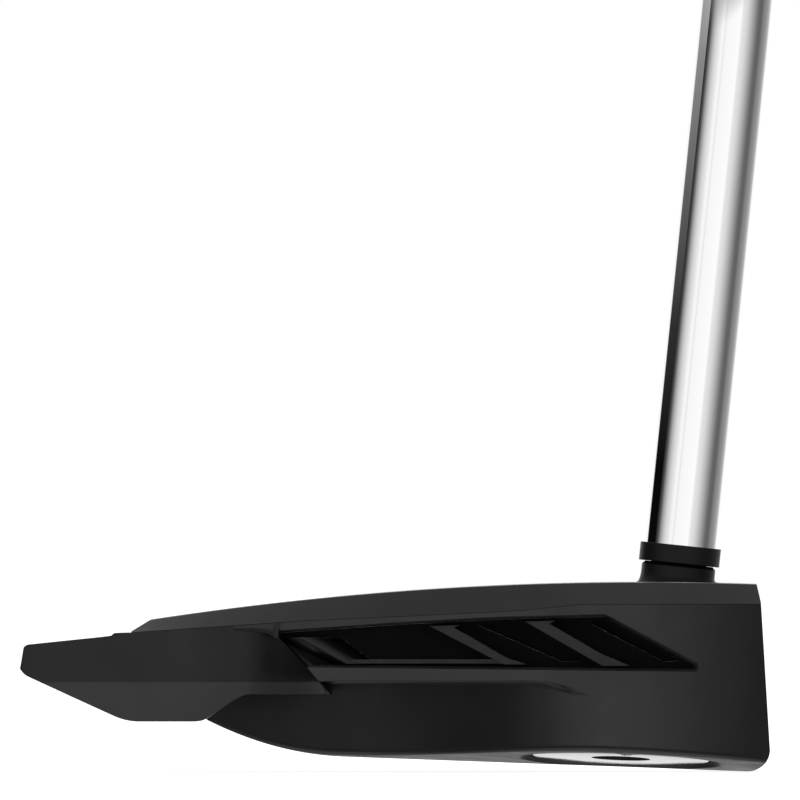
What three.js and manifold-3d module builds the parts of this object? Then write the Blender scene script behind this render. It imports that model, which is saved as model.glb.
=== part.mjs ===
// A mallet putter: a winged head, a double-bend steel shaft and a grip, as separate pieces.
//
// Units are millimetres. +X points at the target, out of the face. +Y points at the player,
// so the heel is at +Y and the toe at -Y. +Z is up. The origin is on the sole's flat, 21 mm
// behind the leading edge and midway between heel and toe.
import * as THREE from "three";
import { mergeVertices } from "three/addons/utils/BufferGeometryUtils.js";
import Module from "manifold-3d";

const wasm = await Module();
wasm.setup();

// ---- Driving dimensions ------------------------------------------------------------------

const GAP = 0.3; // assembly gap between two pieces that meet

// Head, seen from above.
const LEADING_EDGE = 21.0; // x of the leading edge
const WIDEST_X = -2.0; // x where the head is widest
const HALF_WIDTH = 48.0; // half of the head's width there
const FRONT_REACH = 38.6; // x semi-axis of the elliptical front corners
const REAR_TAPER = 240.0; // the sides draw in by distance squared over this

// Head, seen from the toe.
const LOFT = 3.42; // degrees that the face leans back
const FACE_FOOT_Z = 1.6; // height where the flat face begins
const FACE_TOP_X = 19.2; // x of the crown's front edge
const NOSE_RADIUS = 3.0; // round between sole and face
const CROWN_TOP = 24.7; // height of the crown's highest line
const CROWN_APEX_X = 4.0;
const CROWN_RADIUS = 433.0; // front-to-back arc of the crown
const CROWN_TAIL_X = -61.8; // where the crown's tail starts to slant down
const CROWN_END_X = -64.2;
const CROWN_BEVEL = 6.0; // how far the crown's sloped border reaches in
const CROWN_CAMBER = 0.1; // drop of the crown from its middle to its border

// Sole.
const SOLE_RISE = 0.0365; // the sole climbs this much per millimetre towards the back
const SOLE_FLAT_HALF = 20.0; // half-width of the flat strip along the middle
const SOLE_CANT = 4.3; // degrees that the sole rises outside that strip
const KEEL_BREAK_X = -36.0; // where the sole starts to curve up to the back
const KEEL_END_X = -54.3;
const KEEL_END_Z = 6.2;
const KEEL_TOP = 9.6; // height of the keel's upper face, under the rear frame
const WAIST_START_X = -1.0; // the lower wall draws in behind this
const WAIST_LENGTH = 34.0;
const WAIST_DEPTH = 19.0;
const LIP_Z = 11.45; // underside of the ledge over the waist
const LIP_FADE_Z = 8.3; // where the ledge has died away towards the face
const WAIST_LEAN = 1.2; // how far the waist's wall leans out under the ledge

// Rear frame.
const WING_END_X = -78.9;
const WING_HALF = 44.5; // half-width over the two wings
const WING_DRAFT = 0.8; // how far the wings' walls lean out over their lower bevels
const WING_INNER = 24.0; // half-width of the notch between them
const WING_FLOOR = 6.08;
const WING_CREASE_Z = 11.33; // the outer wall slopes in below this
const WING_BEVEL = 5.0; // how far it slopes in
const WING_SHOULDER_Z = 18.9; // the outer wall leans in a little up to this height
const WING_TAIL = { from: -68.0, run: 11.0, by: 3.2 }; // the wall rounds in behind this
const WING_TURNS = [
  { from: -58.0, run: 14.0, by: 4.0 }, // and turns in ahead of this, gently
  { from: -49.0, run: 12.5, by: 6.7 }, // and then steeply
];
const BRIDGE_END_X = -67.0;

// Side window and its truss.
const TRUSS_FLOOR_Y = 38.5; // distance of the truss floor from the middle, at x = 0
const TRUSS_SPLAY = 0.09; // change of that distance per millimetre of x
const TRUSS_RIB = 4.5; // rib height above the floor

// Sole weights.
const WEIGHT_X = 1.1;
const WEIGHT_Y = 31.0;
const WEIGHT_RADIUS = 12.0;
const WEIGHT_THICK = 3.7;
const WEIGHT_POCKET_RADIUS = 13.5;
const WEIGHT_POCKET_DEPTH = 5.2;
const WEIGHT_STEM_RADIUS = 5.0;
const WEIGHT_STEM_END = 9.8;
const BUSH_RADIUS = 7.6;
const BUSH_END = 11.2;

// Hosel and shaft.
const HOSEL_X = 8.57; // where the shaft's axis meets the crown
const HOSEL_Y = 20.0;
const HOSEL_Z = 24.67;
const SHAFT_LEAN = 5.9; // degrees that the lower leg leans forward
const SHAFT_TIP_RADIUS = 4.82;
const SHAFT_BUTT_RADIUS = 7.35;
const SHAFT_WALL = 0.6;
const SHAFT_STEPS = 6;
const NECK_RADIUS = 4.98;
const NECK_HEIGHT = 2.3;
const FERRULE_RADIUS = 5.44;
const FERRULE_LOW = 2.55;
const FERRULE_HIGH = 4.97;
const POST_RADIUS = 3.75;
const POST_TOP = 32.0;
const POST_DEPTH = 11.0;
const LOWER_LEG = 85.0; // from the crown to the first bend's corner
const BEND_RADIUS = 55.0;
const MIDDLE_LEG = 47.0; // between the two corners
const MIDDLE_LEAN = 32.0; // degrees towards the heel
const LIE_LEAN = 20.0; // degrees towards the heel of the long upper leg
const OVERALL_LENGTH = 864.0; // 34 inches, sole to the end of the grip
const GRIP_LENGTH = 267.0;
const GRIP_CAP = 4.0;

// ---- Small geometry helpers ---------------------------------------------------------------

const radians = THREE.MathUtils.degToRad;

// A closed geometry as a manifold solid, turned to face outwards.
function solid(geometry) {
  const bare = geometry.clone();
  for (const name of ["normal", "uv"]) {
    if (bare.hasAttribute(name)) bare.deleteAttribute(name);
  }
  const merged = mergeVertices(bare, 1e-4);
  const vertProperties = merged.attributes.position.array;
  const triVerts = new Uint32Array(merged.index.array);
  const made = new wasm.Manifold(new wasm.Mesh({ numProp: 3, vertProperties, triVerts }));
  if (made.volume() > 0) return made;
  triVerts.reverse();
  return new wasm.Manifold(new wasm.Mesh({ numProp: 3, vertProperties, triVerts }));
}

// A manifold solid as a three.js geometry.
function geometryOf(made) {
  const mesh = made.getMesh();
  const geometry = new THREE.BufferGeometry();
  geometry.setAttribute("position", new THREE.BufferAttribute(mesh.vertProperties, 3));
  geometry.setIndex(new THREE.BufferAttribute(mesh.triVerts, 1));
  geometry.computeVertexNormals();
  return geometry;
}

const vectors = (points) => points.map(([a, b]) => new THREE.Vector2(a, b));

// An outline in the XZ plane, carried from yLow to yHigh.
function sidePrism(outline, yLow, yHigh) {
  const shape = new THREE.Shape(vectors(outline));
  const geometry = new THREE.ExtrudeGeometry(shape, { depth: yHigh - yLow, bevelEnabled: false });
  geometry.rotateX(Math.PI / 2);
  geometry.translate(0, yHigh, 0);
  return solid(geometry);
}

// An outline in the XY plane, carried from zLow to zHigh.
function planPrism(outline, zLow, zHigh) {
  const shape = new THREE.Shape(vectors(outline));
  const geometry = new THREE.ExtrudeGeometry(shape, { depth: zHigh - zLow, bevelEnabled: false });
  geometry.translate(0, 0, zLow);
  return solid(geometry);
}

// Rings of points, one ring after the other, joined into a closed skin with two flat ends.
function skin(rings, capOutline) {
  const size = rings[0].length;
  const position = new Float32Array(rings.flat().flatMap((point) => point.toArray()));
  const index = [];
  for (let ring = 0; ring + 1 < rings.length; ring++) {
    for (let i = 0; i < size; i++) {
      const a = ring * size + i;
      const b = ring * size + ((i + 1) % size);
      index.push(a, b, a + size, b, b + size, a + size);
    }
  }
  const last = (rings.length - 1) * size;
  for (const [a, b, c] of THREE.ShapeUtils.triangulateShape(capOutline(0), [])) {
    index.push(c, b, a);
  }
  for (const [a, b, c] of THREE.ShapeUtils.triangulateShape(capOutline(rings.length - 1), [])) {
    index.push(last + a, last + b, last + c);
  }
  const geometry = new THREE.BufferGeometry();
  geometry.setAttribute("position", new THREE.BufferAttribute(position, 3));
  geometry.setIndex(index);
  return geometry;
}

// The same outline, running counter-clockwise.
const anticlockwise = (outline) =>
  THREE.ShapeUtils.area(vectors(outline)) < 0 ? outline.slice().reverse() : outline;

// A body whose cross-section at each x is the outline section(x), in (y, z).
function loft(stations, section) {
  const outlines = stations.map((x) => anticlockwise(section(x)));
  const rings = outlines.map((outline, i) =>
    outline.map(([y, z]) => new THREE.Vector3(stations[i], y, z)),
  );
  return solid(skin(rings, (i) => vectors(outlines[i])));
}

// The right half of an outline, given from the bottom to the top, with its mirror image.
const mirrored = (half) => [...half, ...half.map(([y, z]) => [-y, z]).reverse()];

// A turned piece about Z, from a profile of (radius, z).
function turned(profile, sides = 32) {
  const geometry = new THREE.LatheGeometry(vectors(profile), sides);
  geometry.rotateX(Math.PI / 2);
  return geometryOf(solid(geometry));
}

const ringProfile = (inner, outer, low, high) => [
  [inner, low],
  [outer, low],
  [outer, high],
  [inner, high],
  [inner, low],
];

// Evenly spread numbers from first to last, both included.
const spread = (first, last, count) =>
  Array.from({ length: count + 1 }, (_, i) => first + ((last - first) * i) / count);

const smooth = (t) => THREE.MathUtils.smoothstep(t, 0, 1);

// The value at x of a line through a few points, which are listed with x rising.
function along(points, x) {
  const next = Math.max(1, points.findIndex(([px]) => px >= x));
  const end = x > points.at(-1)[0] ? points.length - 1 : next;
  const [x0, v0] = points[end - 1];
  const [x1, v1] = points[end];
  return v0 + ((v1 - v0) * (x - x0)) / (x1 - x0);
}

// ---- The head's surfaces --------------------------------------------------------------------

// Half-width of the head at x: elliptical front corners, and sides that draw in to the back.
function halfWidth(x) {
  const away = x - WIDEST_X;
  if (away > 0) return HALF_WIDTH * Math.sqrt(1 - (away / FRONT_REACH) ** 2);
  return HALF_WIDTH - away ** 2 / REAR_TAPER;
}

const crownZ = (x) => CROWN_TOP - (x - CROWN_APEX_X) ** 2 / (2 * CROWN_RADIUS);

// Height of the seam under the crown, falling towards the tail.
const SEAM = [
  [CROWN_END_X, 17.9],
  [-52.3, 18.7],
  [-40.8, 19.5],
  [-28.3, 20.05],
  [-12.0, 20.85],
  [-4.0, 21.7],
  [24.0, 21.7],
];
const seamZ = (x) => along(SEAM, x);

// Height of the sole's middle: a plane that climbs to the back, then the keel's upward curve.
function soleZ(x) {
  const plane = -SOLE_RISE * x;
  if (x > KEEL_BREAK_X) return plane;
  const t = (KEEL_BREAK_X - x) / (KEEL_BREAK_X - KEEL_END_X);
  const climb = KEEL_END_Z + SOLE_RISE * KEEL_END_X;
  return plane + climb * t * t;
}
const soleZAt = (x, y) =>
  soleZ(x) + Math.max(0, Math.abs(y) - SOLE_FLAT_HALF) * Math.tan(radians(SOLE_CANT));

const waist = (x) => smooth((WAIST_START_X - x) / WAIST_LENGTH);
const lowerHalfWidth = (x) => halfWidth(x) - 0.4 - WAIST_DEPTH * waist(x);

// The face plane's x at height z.
const faceX = (z) => LEADING_EDGE - (z - FACE_FOOT_Z) * Math.tan(radians(LOFT));

// The side outline that trims the front of the head: face, rounded nose and open back.
function frontTrim(low, high) {
  const noseX = LEADING_EDGE - NOSE_RADIUS;
  const noseZ = soleZ(noseX) + NOSE_RADIUS;
  const nose = spread(-90, -3, 8).map((angle) => [
    noseX + NOSE_RADIUS * Math.cos(radians(angle)),
    noseZ + NOSE_RADIUS * Math.sin(radians(angle)),
  ]);
  return [[-120, low], [noseX, low], ...nose, [faceX(high), high], [-120, high]];
}

// ---- Side outlines shared by the body, the rear frame and the truss ---------------------------

const WINDOW = [
  [-44.4, 17.6],
  [-40.3, 13.33],
  [11.36, 12.75],
  [11.45, 13.85],
  [-0.9, 20.4],
  [-15.1, 20.05],
  [-28.3, 19.33],
  [-44.4, 18.15],
];

const WING_SIDE = [
  [WING_END_X, 13.1],
  [-78.3, 12.3],
  [-65.7, 6.5],
  [-64.0, WING_FLOOR],
  [-54.7, WING_FLOOR],
  [-51.2, 8.45],
  [-49.6, 9.45],
  [-48.3, 9.8],
  [-37.9, 9.8],
  [-40.7, 13.2],
  [-44.7, 17.6],
  [-44.7, 18.85],
  [-47.3, 18.7],
  [-52.3, 18.4],
  [CROWN_END_X, 17.6],
  [-67.7, 17.4],
  [-78.0, 16.33],
  [-78.4, 15.96],
];

const BRIDGE_SIDE = [
  [BRIDGE_END_X, 9.0],
  [-63.0, 7.4],
  [-56.4, 7.4],
  [-54.9, KEEL_TOP + GAP],
  [-38.2, KEEL_TOP + GAP],
  [-44.7, 17.6],
  [-44.7, 18.3],
  [-52.3, 18.1],
  [CROWN_END_X - GAP, 17.6],
  [CROWN_END_X - GAP, 18.05],
  [-66.6, 17.85],
  [BRIDGE_END_X, 17.5],
];

// What the body loses at the back so that the rear frame fits against it.
const BODY_TAIL_CUT = [
  [-120, KEEL_TOP],
  [-37.6, KEEL_TOP],
  [-44.4, 17.9],
  [-44.4, 40],
  [-120, 40],
];

// ---- Materials ------------------------------------------------------------------------------

const material = (color, roughness, metalness) =>
  new THREE.MeshStandardMaterial({ color, roughness, metalness });

const satinBlack = () => material(0x141414, 0.42, 0.5);
const darkInsert = () => material(0x0b0b0b, 0.6, 0.2);
const chrome = () => material(0xe2e2e2, 0.06, 1.0);
const steel = () => material(0x9a9a9a, 0.3, 1.0);
const rubber = () => material(0x161616, 0.85, 0.0);
const white = () => material(0xf2f2f2, 0.5, 0.0);

const putter = new THREE.Group();

function piece(name, made, finish, parent = putter) {
  const geometry = made.isBufferGeometry ? made : geometryOf(made);
  const mesh = new THREE.Mesh(geometry, finish);
  mesh.name = name;
  parent.add(mesh);
  return mesh;
}

// A copy of a piece's geometry where its group puts it.
function inFrame(geometry, group) {
  group.updateMatrixWorld(true);
  return solid(geometry.clone().applyMatrix4(group.matrixWorld));
}

// ---- Groups that carry the tilted pieces ------------------------------------------------------

const hosel = new THREE.Group();
hosel.position.set(HOSEL_X, HOSEL_Y, HOSEL_Z);
hosel.rotation.y = radians(SHAFT_LEAN);
putter.add(hosel);

// The face group's +X is the face's outward normal, and its origin is the face's centre.
const FACE_CENTRE_Z = 12.2;
const face = new THREE.Group();
face.position.set(faceX(FACE_CENTRE_Z), 0, FACE_CENTRE_Z);
face.rotation.y = -radians(LOFT);
putter.add(face);

// A weight group's +Z points into the sole, square to it, from the sole's surface.
function weightGroup(side) {
  const group = new THREE.Group();
  const y = side * WEIGHT_Y;
  group.position.set(WEIGHT_X, y, soleZAt(WEIGHT_X, y));
  const inward = new THREE.Vector3(SOLE_RISE, -side * Math.tan(radians(SOLE_CANT)), 1);
  group.quaternion.setFromUnitVectors(new THREE.Vector3(0, 0, 1), inward.normalize());
  putter.add(group);
  return group;
}
const weights = { toe: weightGroup(-1), heel: weightGroup(1) };

// ---- Face insert ------------------------------------------------------------------------------

const INSERT_HALF = 30.0;
const INSERT_HEIGHT = 15.0;
const INSERT_THICK = 4.2;
const INSERT_PAD = 0.6;
const GROOVES = 7;
const GROOVE_PITCH = 1.8;
const GROOVE_DEPTH = 0.35;

// A flat-bottomed block with round ends, across the face, from xLow to xHigh.
function stadium(halfLength, height, xLow, xHigh) {
  const radius = height / 2;
  const shape = new THREE.Shape();
  shape.absarc(halfLength - radius, 0, radius, -Math.PI / 2, Math.PI / 2);
  shape.absarc(radius - halfLength, 0, radius, Math.PI / 2, (3 * Math.PI) / 2);
  const depth = xHigh - xLow;
  const geometry = new THREE.ExtrudeGeometry(shape, { depth, bevelEnabled: false, curveSegments: 12 });
  // Local x becomes y, local y becomes z and the depth becomes x.
  geometry.applyMatrix4(new THREE.Matrix4().set(0, 0, 1, xLow, 1, 0, 0, 0, 0, 1, 0, 0, 0, 0, 0, 1));
  return geometry;
}

function faceInsert() {
  let block = solid(stadium(INSERT_HALF, INSERT_HEIGHT, -INSERT_THICK, 0));
  for (let i = 0; i < GROOVES; i++) {
    const z = (i + 0.5 - GROOVES / 2) * GROOVE_PITCH + GROOVE_PITCH / 2;
    const groove = new THREE.BoxGeometry(2 * GROOVE_DEPTH, 2 * INSERT_HALF - 14, 0.5);
    groove.translate(0, 0, z);
    block = block.subtract(solid(groove));
  }
  return block;
}
piece("face_insert", faceInsert(), satinBlack(), face);
const padBack = -INSERT_THICK - GAP - INSERT_PAD;
piece(
  "insert_pad",
  solid(stadium(INSERT_HALF - 0.5, INSERT_HEIGHT - 1, padBack, -INSERT_THICK - GAP)),
  rubber(),
  face,
);
const insertPocket = stadium(INSERT_HALF + GAP, INSERT_HEIGHT + 2 * GAP, padBack - GAP, 6);

// ---- Hosel, ferrule and shaft -------------------------------------------------------------------

const hoselPost = turned([
  [0, -POST_DEPTH],
  [NECK_RADIUS + 0.2, -POST_DEPTH],
  [NECK_RADIUS + 0.35, -POST_DEPTH + 0.6],
  [NECK_RADIUS + 0.35, 0.1],
  [NECK_RADIUS + 0.1, 0.35],
  [NECK_RADIUS, 0.7],
  [NECK_RADIUS, NECK_HEIGHT - 0.25],
  [NECK_RADIUS - 0.25, NECK_HEIGHT],
  [POST_RADIUS, NECK_HEIGHT],
  [POST_RADIUS, POST_TOP - 1],
  [POST_RADIUS - 1, POST_TOP],
  [0, POST_TOP],
]);
piece("hosel_post", hoselPost, satinBlack(), hosel);
piece(
  "ferrule",
  turned(ringProfile(SHAFT_TIP_RADIUS + GAP, FERRULE_RADIUS, FERRULE_LOW, FERRULE_HIGH)),
  rubber(),
  hosel,
);

// The shaft's centre line: three straight legs with two round bends between them.
function shaftLine() {
  const start = new THREE.Vector3(0, 0, FERRULE_LOW + 0.1).applyMatrix4(hosel.matrixWorld);
  const lower = new THREE.Vector3(0, 0, 1).transformDirection(hosel.matrixWorld);
  const middleForward = radians(SHAFT_LEAN / 2);
  const middle = new THREE.Vector3(
    Math.sin(middleForward),
    Math.sin(radians(MIDDLE_LEAN)),
    Math.cos(radians(MIDDLE_LEAN)),
  ).normalize();
  const upper = new THREE.Vector3(0, Math.sin(radians(LIE_LEAN)), Math.cos(radians(LIE_LEAN)));
  const corner1 = start.clone().addScaledVector(lower, LOWER_LEG);
  const corner2 = corner1.clone().addScaledVector(middle, MIDDLE_LEG);
  const reach = OVERALL_LENGTH - corner2.z / Math.cos(radians(LIE_LEAN)) - GRIP_CAP;
  const end = corner2.clone().addScaledVector(upper, reach);
  return { start, corner1, corner2, end, lower, middle, upper };
}

// Points on the round bend that replaces a corner between two directions.
function bendPoints(corner, before, after, steps) {
  const turn = before.angleTo(after);
  const setback = BEND_RADIUS * Math.tan(turn / 2);
  const from = corner.clone().addScaledVector(before, -setback);
  const axis = new THREE.Vector3().crossVectors(before, after).normalize();
  const centre = from
    .clone()
    .addScaledVector(new THREE.Vector3().crossVectors(axis, before), BEND_RADIUS);
  return spread(0, turn, steps).map((angle) =>
    from.clone().sub(centre).applyAxisAngle(axis, angle).add(centre),
  );
}

hosel.updateMatrixWorld(true);
const line = shaftLine();
const gripStart = line.end.clone().addScaledVector(line.upper, GRIP_CAP - GRIP_LENGTH);
const stepStart = line.corner2.clone().addScaledVector(line.upper, 120);
const stepSpan = gripStart.distanceTo(stepStart);

// The centre line as points with a radius each: plain tip, stepped taper, plain butt.
function shaftStations() {
  const stations = [];
  const add = (point, radius) => stations.push({ point, radius });
  add(line.start, SHAFT_TIP_RADIUS);
  for (const point of bendPoints(line.corner1, line.lower, line.middle, 5)) {
    add(point, SHAFT_TIP_RADIUS);
  }
  for (const point of bendPoints(line.corner2, line.middle, line.upper, 3)) {
    add(point, SHAFT_TIP_RADIUS);
  }
  const growth = (SHAFT_BUTT_RADIUS - SHAFT_TIP_RADIUS) / SHAFT_STEPS;
  for (let i = 0; i < SHAFT_STEPS; i++) {
    const foot = stepStart.clone().addScaledVector(line.upper, (stepSpan * i) / SHAFT_STEPS);
    add(foot, SHAFT_TIP_RADIUS + growth * i);
    add(foot.clone().addScaledVector(line.upper, 1.2), SHAFT_TIP_RADIUS + growth * (i + 1));
  }
  add(line.end, SHAFT_BUTT_RADIUS);
  return stations;
}

// A round bar along stations of point and radius, with an offset added to each radius.
function bar(stations, offset, sides) {
  const rings = stations.map(({ point, radius }, i) => {
    const before = stations[Math.max(0, i - 1)].point;
    const after = stations[Math.min(stations.length - 1, i + 1)].point;
    const tangent = after.clone().sub(before).normalize();
    const across = new THREE.Vector3().crossVectors(new THREE.Vector3(0, 1, 0), tangent).normalize();
    const up = new THREE.Vector3().crossVectors(tangent, across);
    return spread(0, 2 * Math.PI, sides)
      .slice(0, sides)
      .map((angle) =>
        point
          .clone()
          .addScaledVector(across, (radius + offset) * Math.cos(angle))
          .addScaledVector(up, (radius + offset) * Math.sin(angle)),
      );
  });
  const disc = vectors(
    spread(0, 2 * Math.PI, sides).slice(0, sides).map((a) => [Math.cos(a), Math.sin(a)]),
  );
  return solid(skin(rings, () => disc));
}

const SHAFT_SIDES = 20;

// The same stations, carried past both ends so that a cut made with them leaves the ends open.
function extended(stations, distance) {
  const first = stations[0];
  const last = stations.at(-1);
  return [
    { point: first.point.clone().addScaledVector(line.lower, -distance), radius: first.radius },
    ...stations,
    { point: last.point.clone().addScaledVector(line.upper, distance), radius: last.radius },
  ];
}

const stations = shaftStations();
piece(
  "shaft",
  bar(stations, 0, SHAFT_SIDES).subtract(bar(extended(stations, 2), -SHAFT_WALL, SHAFT_SIDES)),
  chrome(),
);

// ---- Grip: a sleeve with a flat front, over two wraps of tape, and a cap -----------------------

const grip = new THREE.Group();
grip.position.copy(gripStart);
grip.rotation.x = -radians(LIE_LEAN);
putter.add(grip);

const TAPE_THICK = 0.5;
const GRIP_SIDES = 32;
const gripLow = 0;
const gripHigh = GRIP_LENGTH - GRIP_CAP;

// The grip's outline at a fraction t of its length: round at the back, flat towards the target.
function gripSection(t) {
  const belly = Math.sin(Math.PI * Math.min(1, Math.max(0, (t - 0.35) / 0.65)));
  const wide = THREE.MathUtils.lerp(11.2, 14.2, smooth(t * 1.4)) + 0.8 * belly;
  const deep = THREE.MathUtils.lerp(11.0, 15.5, smooth(t * 1.3)) + 1.6 * belly;
  const flat = THREE.MathUtils.lerp(10.2, 11.2, t);
  return spread(0, 2 * Math.PI, GRIP_SIDES)
    .slice(0, GRIP_SIDES)
    .map((angle) => {
      const x = deep * Math.cos(angle);
      const y = wide * Math.sin(angle);
      return [Math.min(x, flat), y];
    });
}

// A grip-shaped sleeve from one height to another along the shaft.
function gripBlock(low, high, steps) {
  const heights = spread(low, high, steps);
  const outlines = heights.map((z) => gripSection(z / GRIP_LENGTH));
  const rings = outlines.map((outline, i) =>
    outline.map(([x, y]) => new THREE.Vector3(x, y, heights[i])),
  );
  return solid(skin(rings, (i) => vectors(outlines[i])));
}

const rod = (radius, low, high) =>
  solid(turned([[0, low], [radius, low], [radius, high], [0, high]], SHAFT_SIDES));

const tapeInner = SHAFT_BUTT_RADIUS + GAP;
const tapeOuter = tapeInner + TAPE_THICK;
piece(
  "grip_tape",
  turned(ringProfile(tapeInner, tapeOuter, gripLow + 6, gripHigh - 4), SHAFT_SIDES),
  white(),
  grip,
);
piece("grip", gripBlock(gripLow, gripHigh, 10).subtract(rod(tapeOuter + GAP, -5, 300)), rubber(), grip);
piece(
  "grip_cap",
  gripBlock(gripHigh + GAP, GRIP_LENGTH, 2).subtract(rod(1.2, gripHigh - 2, 300)),
  rubber(),
  grip,
);

// ---- Sole weights ----------------------------------------------------------------------------

const WEIGHT_SETBACK = 0.35; // the weight's face sits this far inside the sole
const SOCKET_RADIUS = 3.5;
const WEIGHT_SIDES = 40;
const weightTop = WEIGHT_SETBACK + WEIGHT_THICK;

const weightBody = solid(
  turned(
    [
      [0, WEIGHT_SETBACK + 0.5],
      [7.6, WEIGHT_SETBACK + 0.5],
      [8.6, WEIGHT_SETBACK],
      [WEIGHT_RADIUS - 0.6, WEIGHT_SETBACK],
      [WEIGHT_RADIUS, WEIGHT_SETBACK + 0.6],
      [WEIGHT_RADIUS, weightTop],
      [WEIGHT_STEM_RADIUS, weightTop],
      [WEIGHT_STEM_RADIUS, WEIGHT_STEM_END - 0.7],
      [WEIGHT_STEM_RADIUS - 0.7, WEIGHT_STEM_END],
      [0, WEIGHT_STEM_END],
    ],
    WEIGHT_SIDES,
  ),
);
const socket = solid(turned([[0, -2], [SOCKET_RADIUS, -2], [SOCKET_RADIUS, 3.4], [0, 3.4]], 6));
const weight = geometryOf(weightBody.subtract(socket));
const washer = turned(ringProfile(5.6, 9.6, weightTop + 0.25, weightTop + 0.75), WEIGHT_SIDES);
const bush = turned(
  ringProfile(WEIGHT_STEM_RADIUS + GAP, BUSH_RADIUS, WEIGHT_POCKET_DEPTH + GAP, BUSH_END),
  24,
);
for (const [side, group] of Object.entries(weights)) {
  piece(`${side}_weight`, weight, chrome(), group);
  piece(`${side}_weight_washer`, washer, rubber(), group);
  piece(`${side}_weight_bush`, bush, steel(), group);
}
const weightPocket = turned(
  [
    [0, -6],
    [WEIGHT_POCKET_RADIUS + 6, -6],
    [WEIGHT_POCKET_RADIUS, 0.4],
    [WEIGHT_POCKET_RADIUS - 0.5, 0.9],
    [WEIGHT_RADIUS + 0.4, 1.2],
    [WEIGHT_RADIUS + 0.4, WEIGHT_POCKET_DEPTH],
    [BUSH_RADIUS + GAP, WEIGHT_POCKET_DEPTH],
    [BUSH_RADIUS + GAP, BUSH_END + GAP],
    [0, BUSH_END + GAP],
  ],
  WEIGHT_SIDES,
);

// ---- Head body -----------------------------------------------------------------------------------

// Half of the body's cross-section at x, from the middle of the sole up to the seam.
function bodyHalf(x) {
  const low = lowerHalfWidth(x);
  const full = halfWidth(x);
  const flat = Math.min(SOLE_FLAT_HALF, low - 2);
  const edge = 0.9; // small round along the sole's border
  const lip = THREE.MathUtils.lerp(LIP_FADE_Z, LIP_Z, smooth((1.5 - x) / 13));
  const lean = WAIST_LEAN * waist(x);
  const under = Math.min(1.2, 0.1 + 1.2 * waist(x));
  return [
    [flat, soleZAt(x, flat)],
    [low - edge, soleZAt(x, low - edge)],
    [low, soleZAt(x, low) + edge],
    [low + 0.15 + lean, lip - under],
    [full - 0.1, lip],
    [full, lip + 0.4],
    [full, seamZ(x) - GAP],
  ];
}

const bodyStations = [
  ...spread(KEEL_END_X, KEEL_BREAK_X, 7),
  ...spread(-33.5, WAIST_START_X, 13),
  ...spread(3, 19, 5),
  21.3,
];
let body = loft(bodyStations, (x) => mirrored(bodyHalf(x)));
body = body.intersect(sidePrism(frontTrim(-10, 30), -60, 60));
body = body.subtract(sidePrism(BODY_TAIL_CUT, -60, 60));

const windowBack = (x) => TRUSS_FLOOR_Y + TRUSS_SPLAY * x;

// A side outline as a slab that follows the splayed window, from one depth to another.
// Depths are measured outwards from the truss floor. The side is -1 at the toe and 1 at the heel.
function windowSlab(outline, low, high, side) {
  const shape = new THREE.Shape(vectors(outline));
  const geometry = new THREE.ExtrudeGeometry(shape, { depth: high - low, bevelEnabled: false });
  geometry.rotateX(Math.PI / 2);
  geometry.translate(0, high, 0);
  const position = geometry.attributes.position;
  for (let i = 0; i < position.count; i++) {
    const x = position.getX(i);
    position.setY(i, side * (windowBack(x) + position.getY(i)));
  }
  return solid(geometry);
}

const FLOOR_THICK = 3.0;
for (const side of [-1, 1]) {
  body = body.subtract(windowSlab(WINDOW, -FLOOR_THICK - GAP, 30, side));
}

// The hollow under the crown, open at the top. Its sides keep a wall inside the waist.
const CAVITY = { back: -34, front: -9, floor: 6.5, wall: 4.5, widest: 28 };
const cavityHalf = (x) => Math.min(CAVITY.widest, lowerHalfWidth(x) - CAVITY.wall);
const cavityEdge = spread(CAVITY.back, CAVITY.front, 5).map((x) => [x, cavityHalf(x)]);
const cavityPlan = [...cavityEdge.map(([x, y]) => [x, -y]), ...cavityEdge.reverse()];
body = body.subtract(planPrism(cavityPlan, CAVITY.floor, 40));

const POST_BORE = NECK_RADIUS + 0.35 + GAP;
const postHole = turned([
  [0, -POST_DEPTH - GAP],
  [POST_BORE, -POST_DEPTH - GAP],
  [POST_BORE, 20],
  [0, 20],
]);
body = body.subtract(inFrame(postHole, hosel));
body = body.subtract(inFrame(insertPocket, face));
for (const group of Object.values(weights)) {
  body = body.subtract(inFrame(weightPocket, group));
}

// ---- Rear frame -------------------------------------------------------------------------------

// Half-width of the wings' outer wall at x: round at the rear corner, and turned in towards the
// front in two steps, a gentle one and a steep one, until it is level with the truss floor.
function wingHalf(x) {
  let half = WING_HALF - WING_TAIL.by * Math.max(0, (WING_TAIL.from - x) / WING_TAIL.run) ** 2;
  for (const { from, run, by } of WING_TURNS) {
    half -= by * smooth((x - from) / run);
  }
  return half;
}

// The cross-section of one wing, with its sloped lower walls.
function wingSection(x, side) {
  const outer = wingHalf(x);
  const outline = [
    [WING_INNER + 2.5, WING_FLOOR - 1],
    [outer - WING_BEVEL - 1, WING_FLOOR - 1],
    [outer - WING_DRAFT, WING_CREASE_Z],
    [outer, WING_SHOULDER_Z],
    [WING_INNER, 20],
    [WING_INNER, 10],
  ];
  return outline.map(([y, z]) => [side * y, z]);
}

// A lip along each wing's top edge runs straight on to the crown's border, over the hollow
// where the wall turns in. This is the height of its underside.
const WING_LIP = [
  [-50.5, 18.2],
  [-48.0, 18.1],
  [-46.8, 17.95],
  [-45.8, 17.8],
  [-45.1, 17.3],
  [-44.7, 17.2],
];
const WING_LIP_INNER = 30.0;
const WING_LIP_ENDS = [WING_LIP[0][0], WING_LIP.at(-1)[0]];

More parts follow.
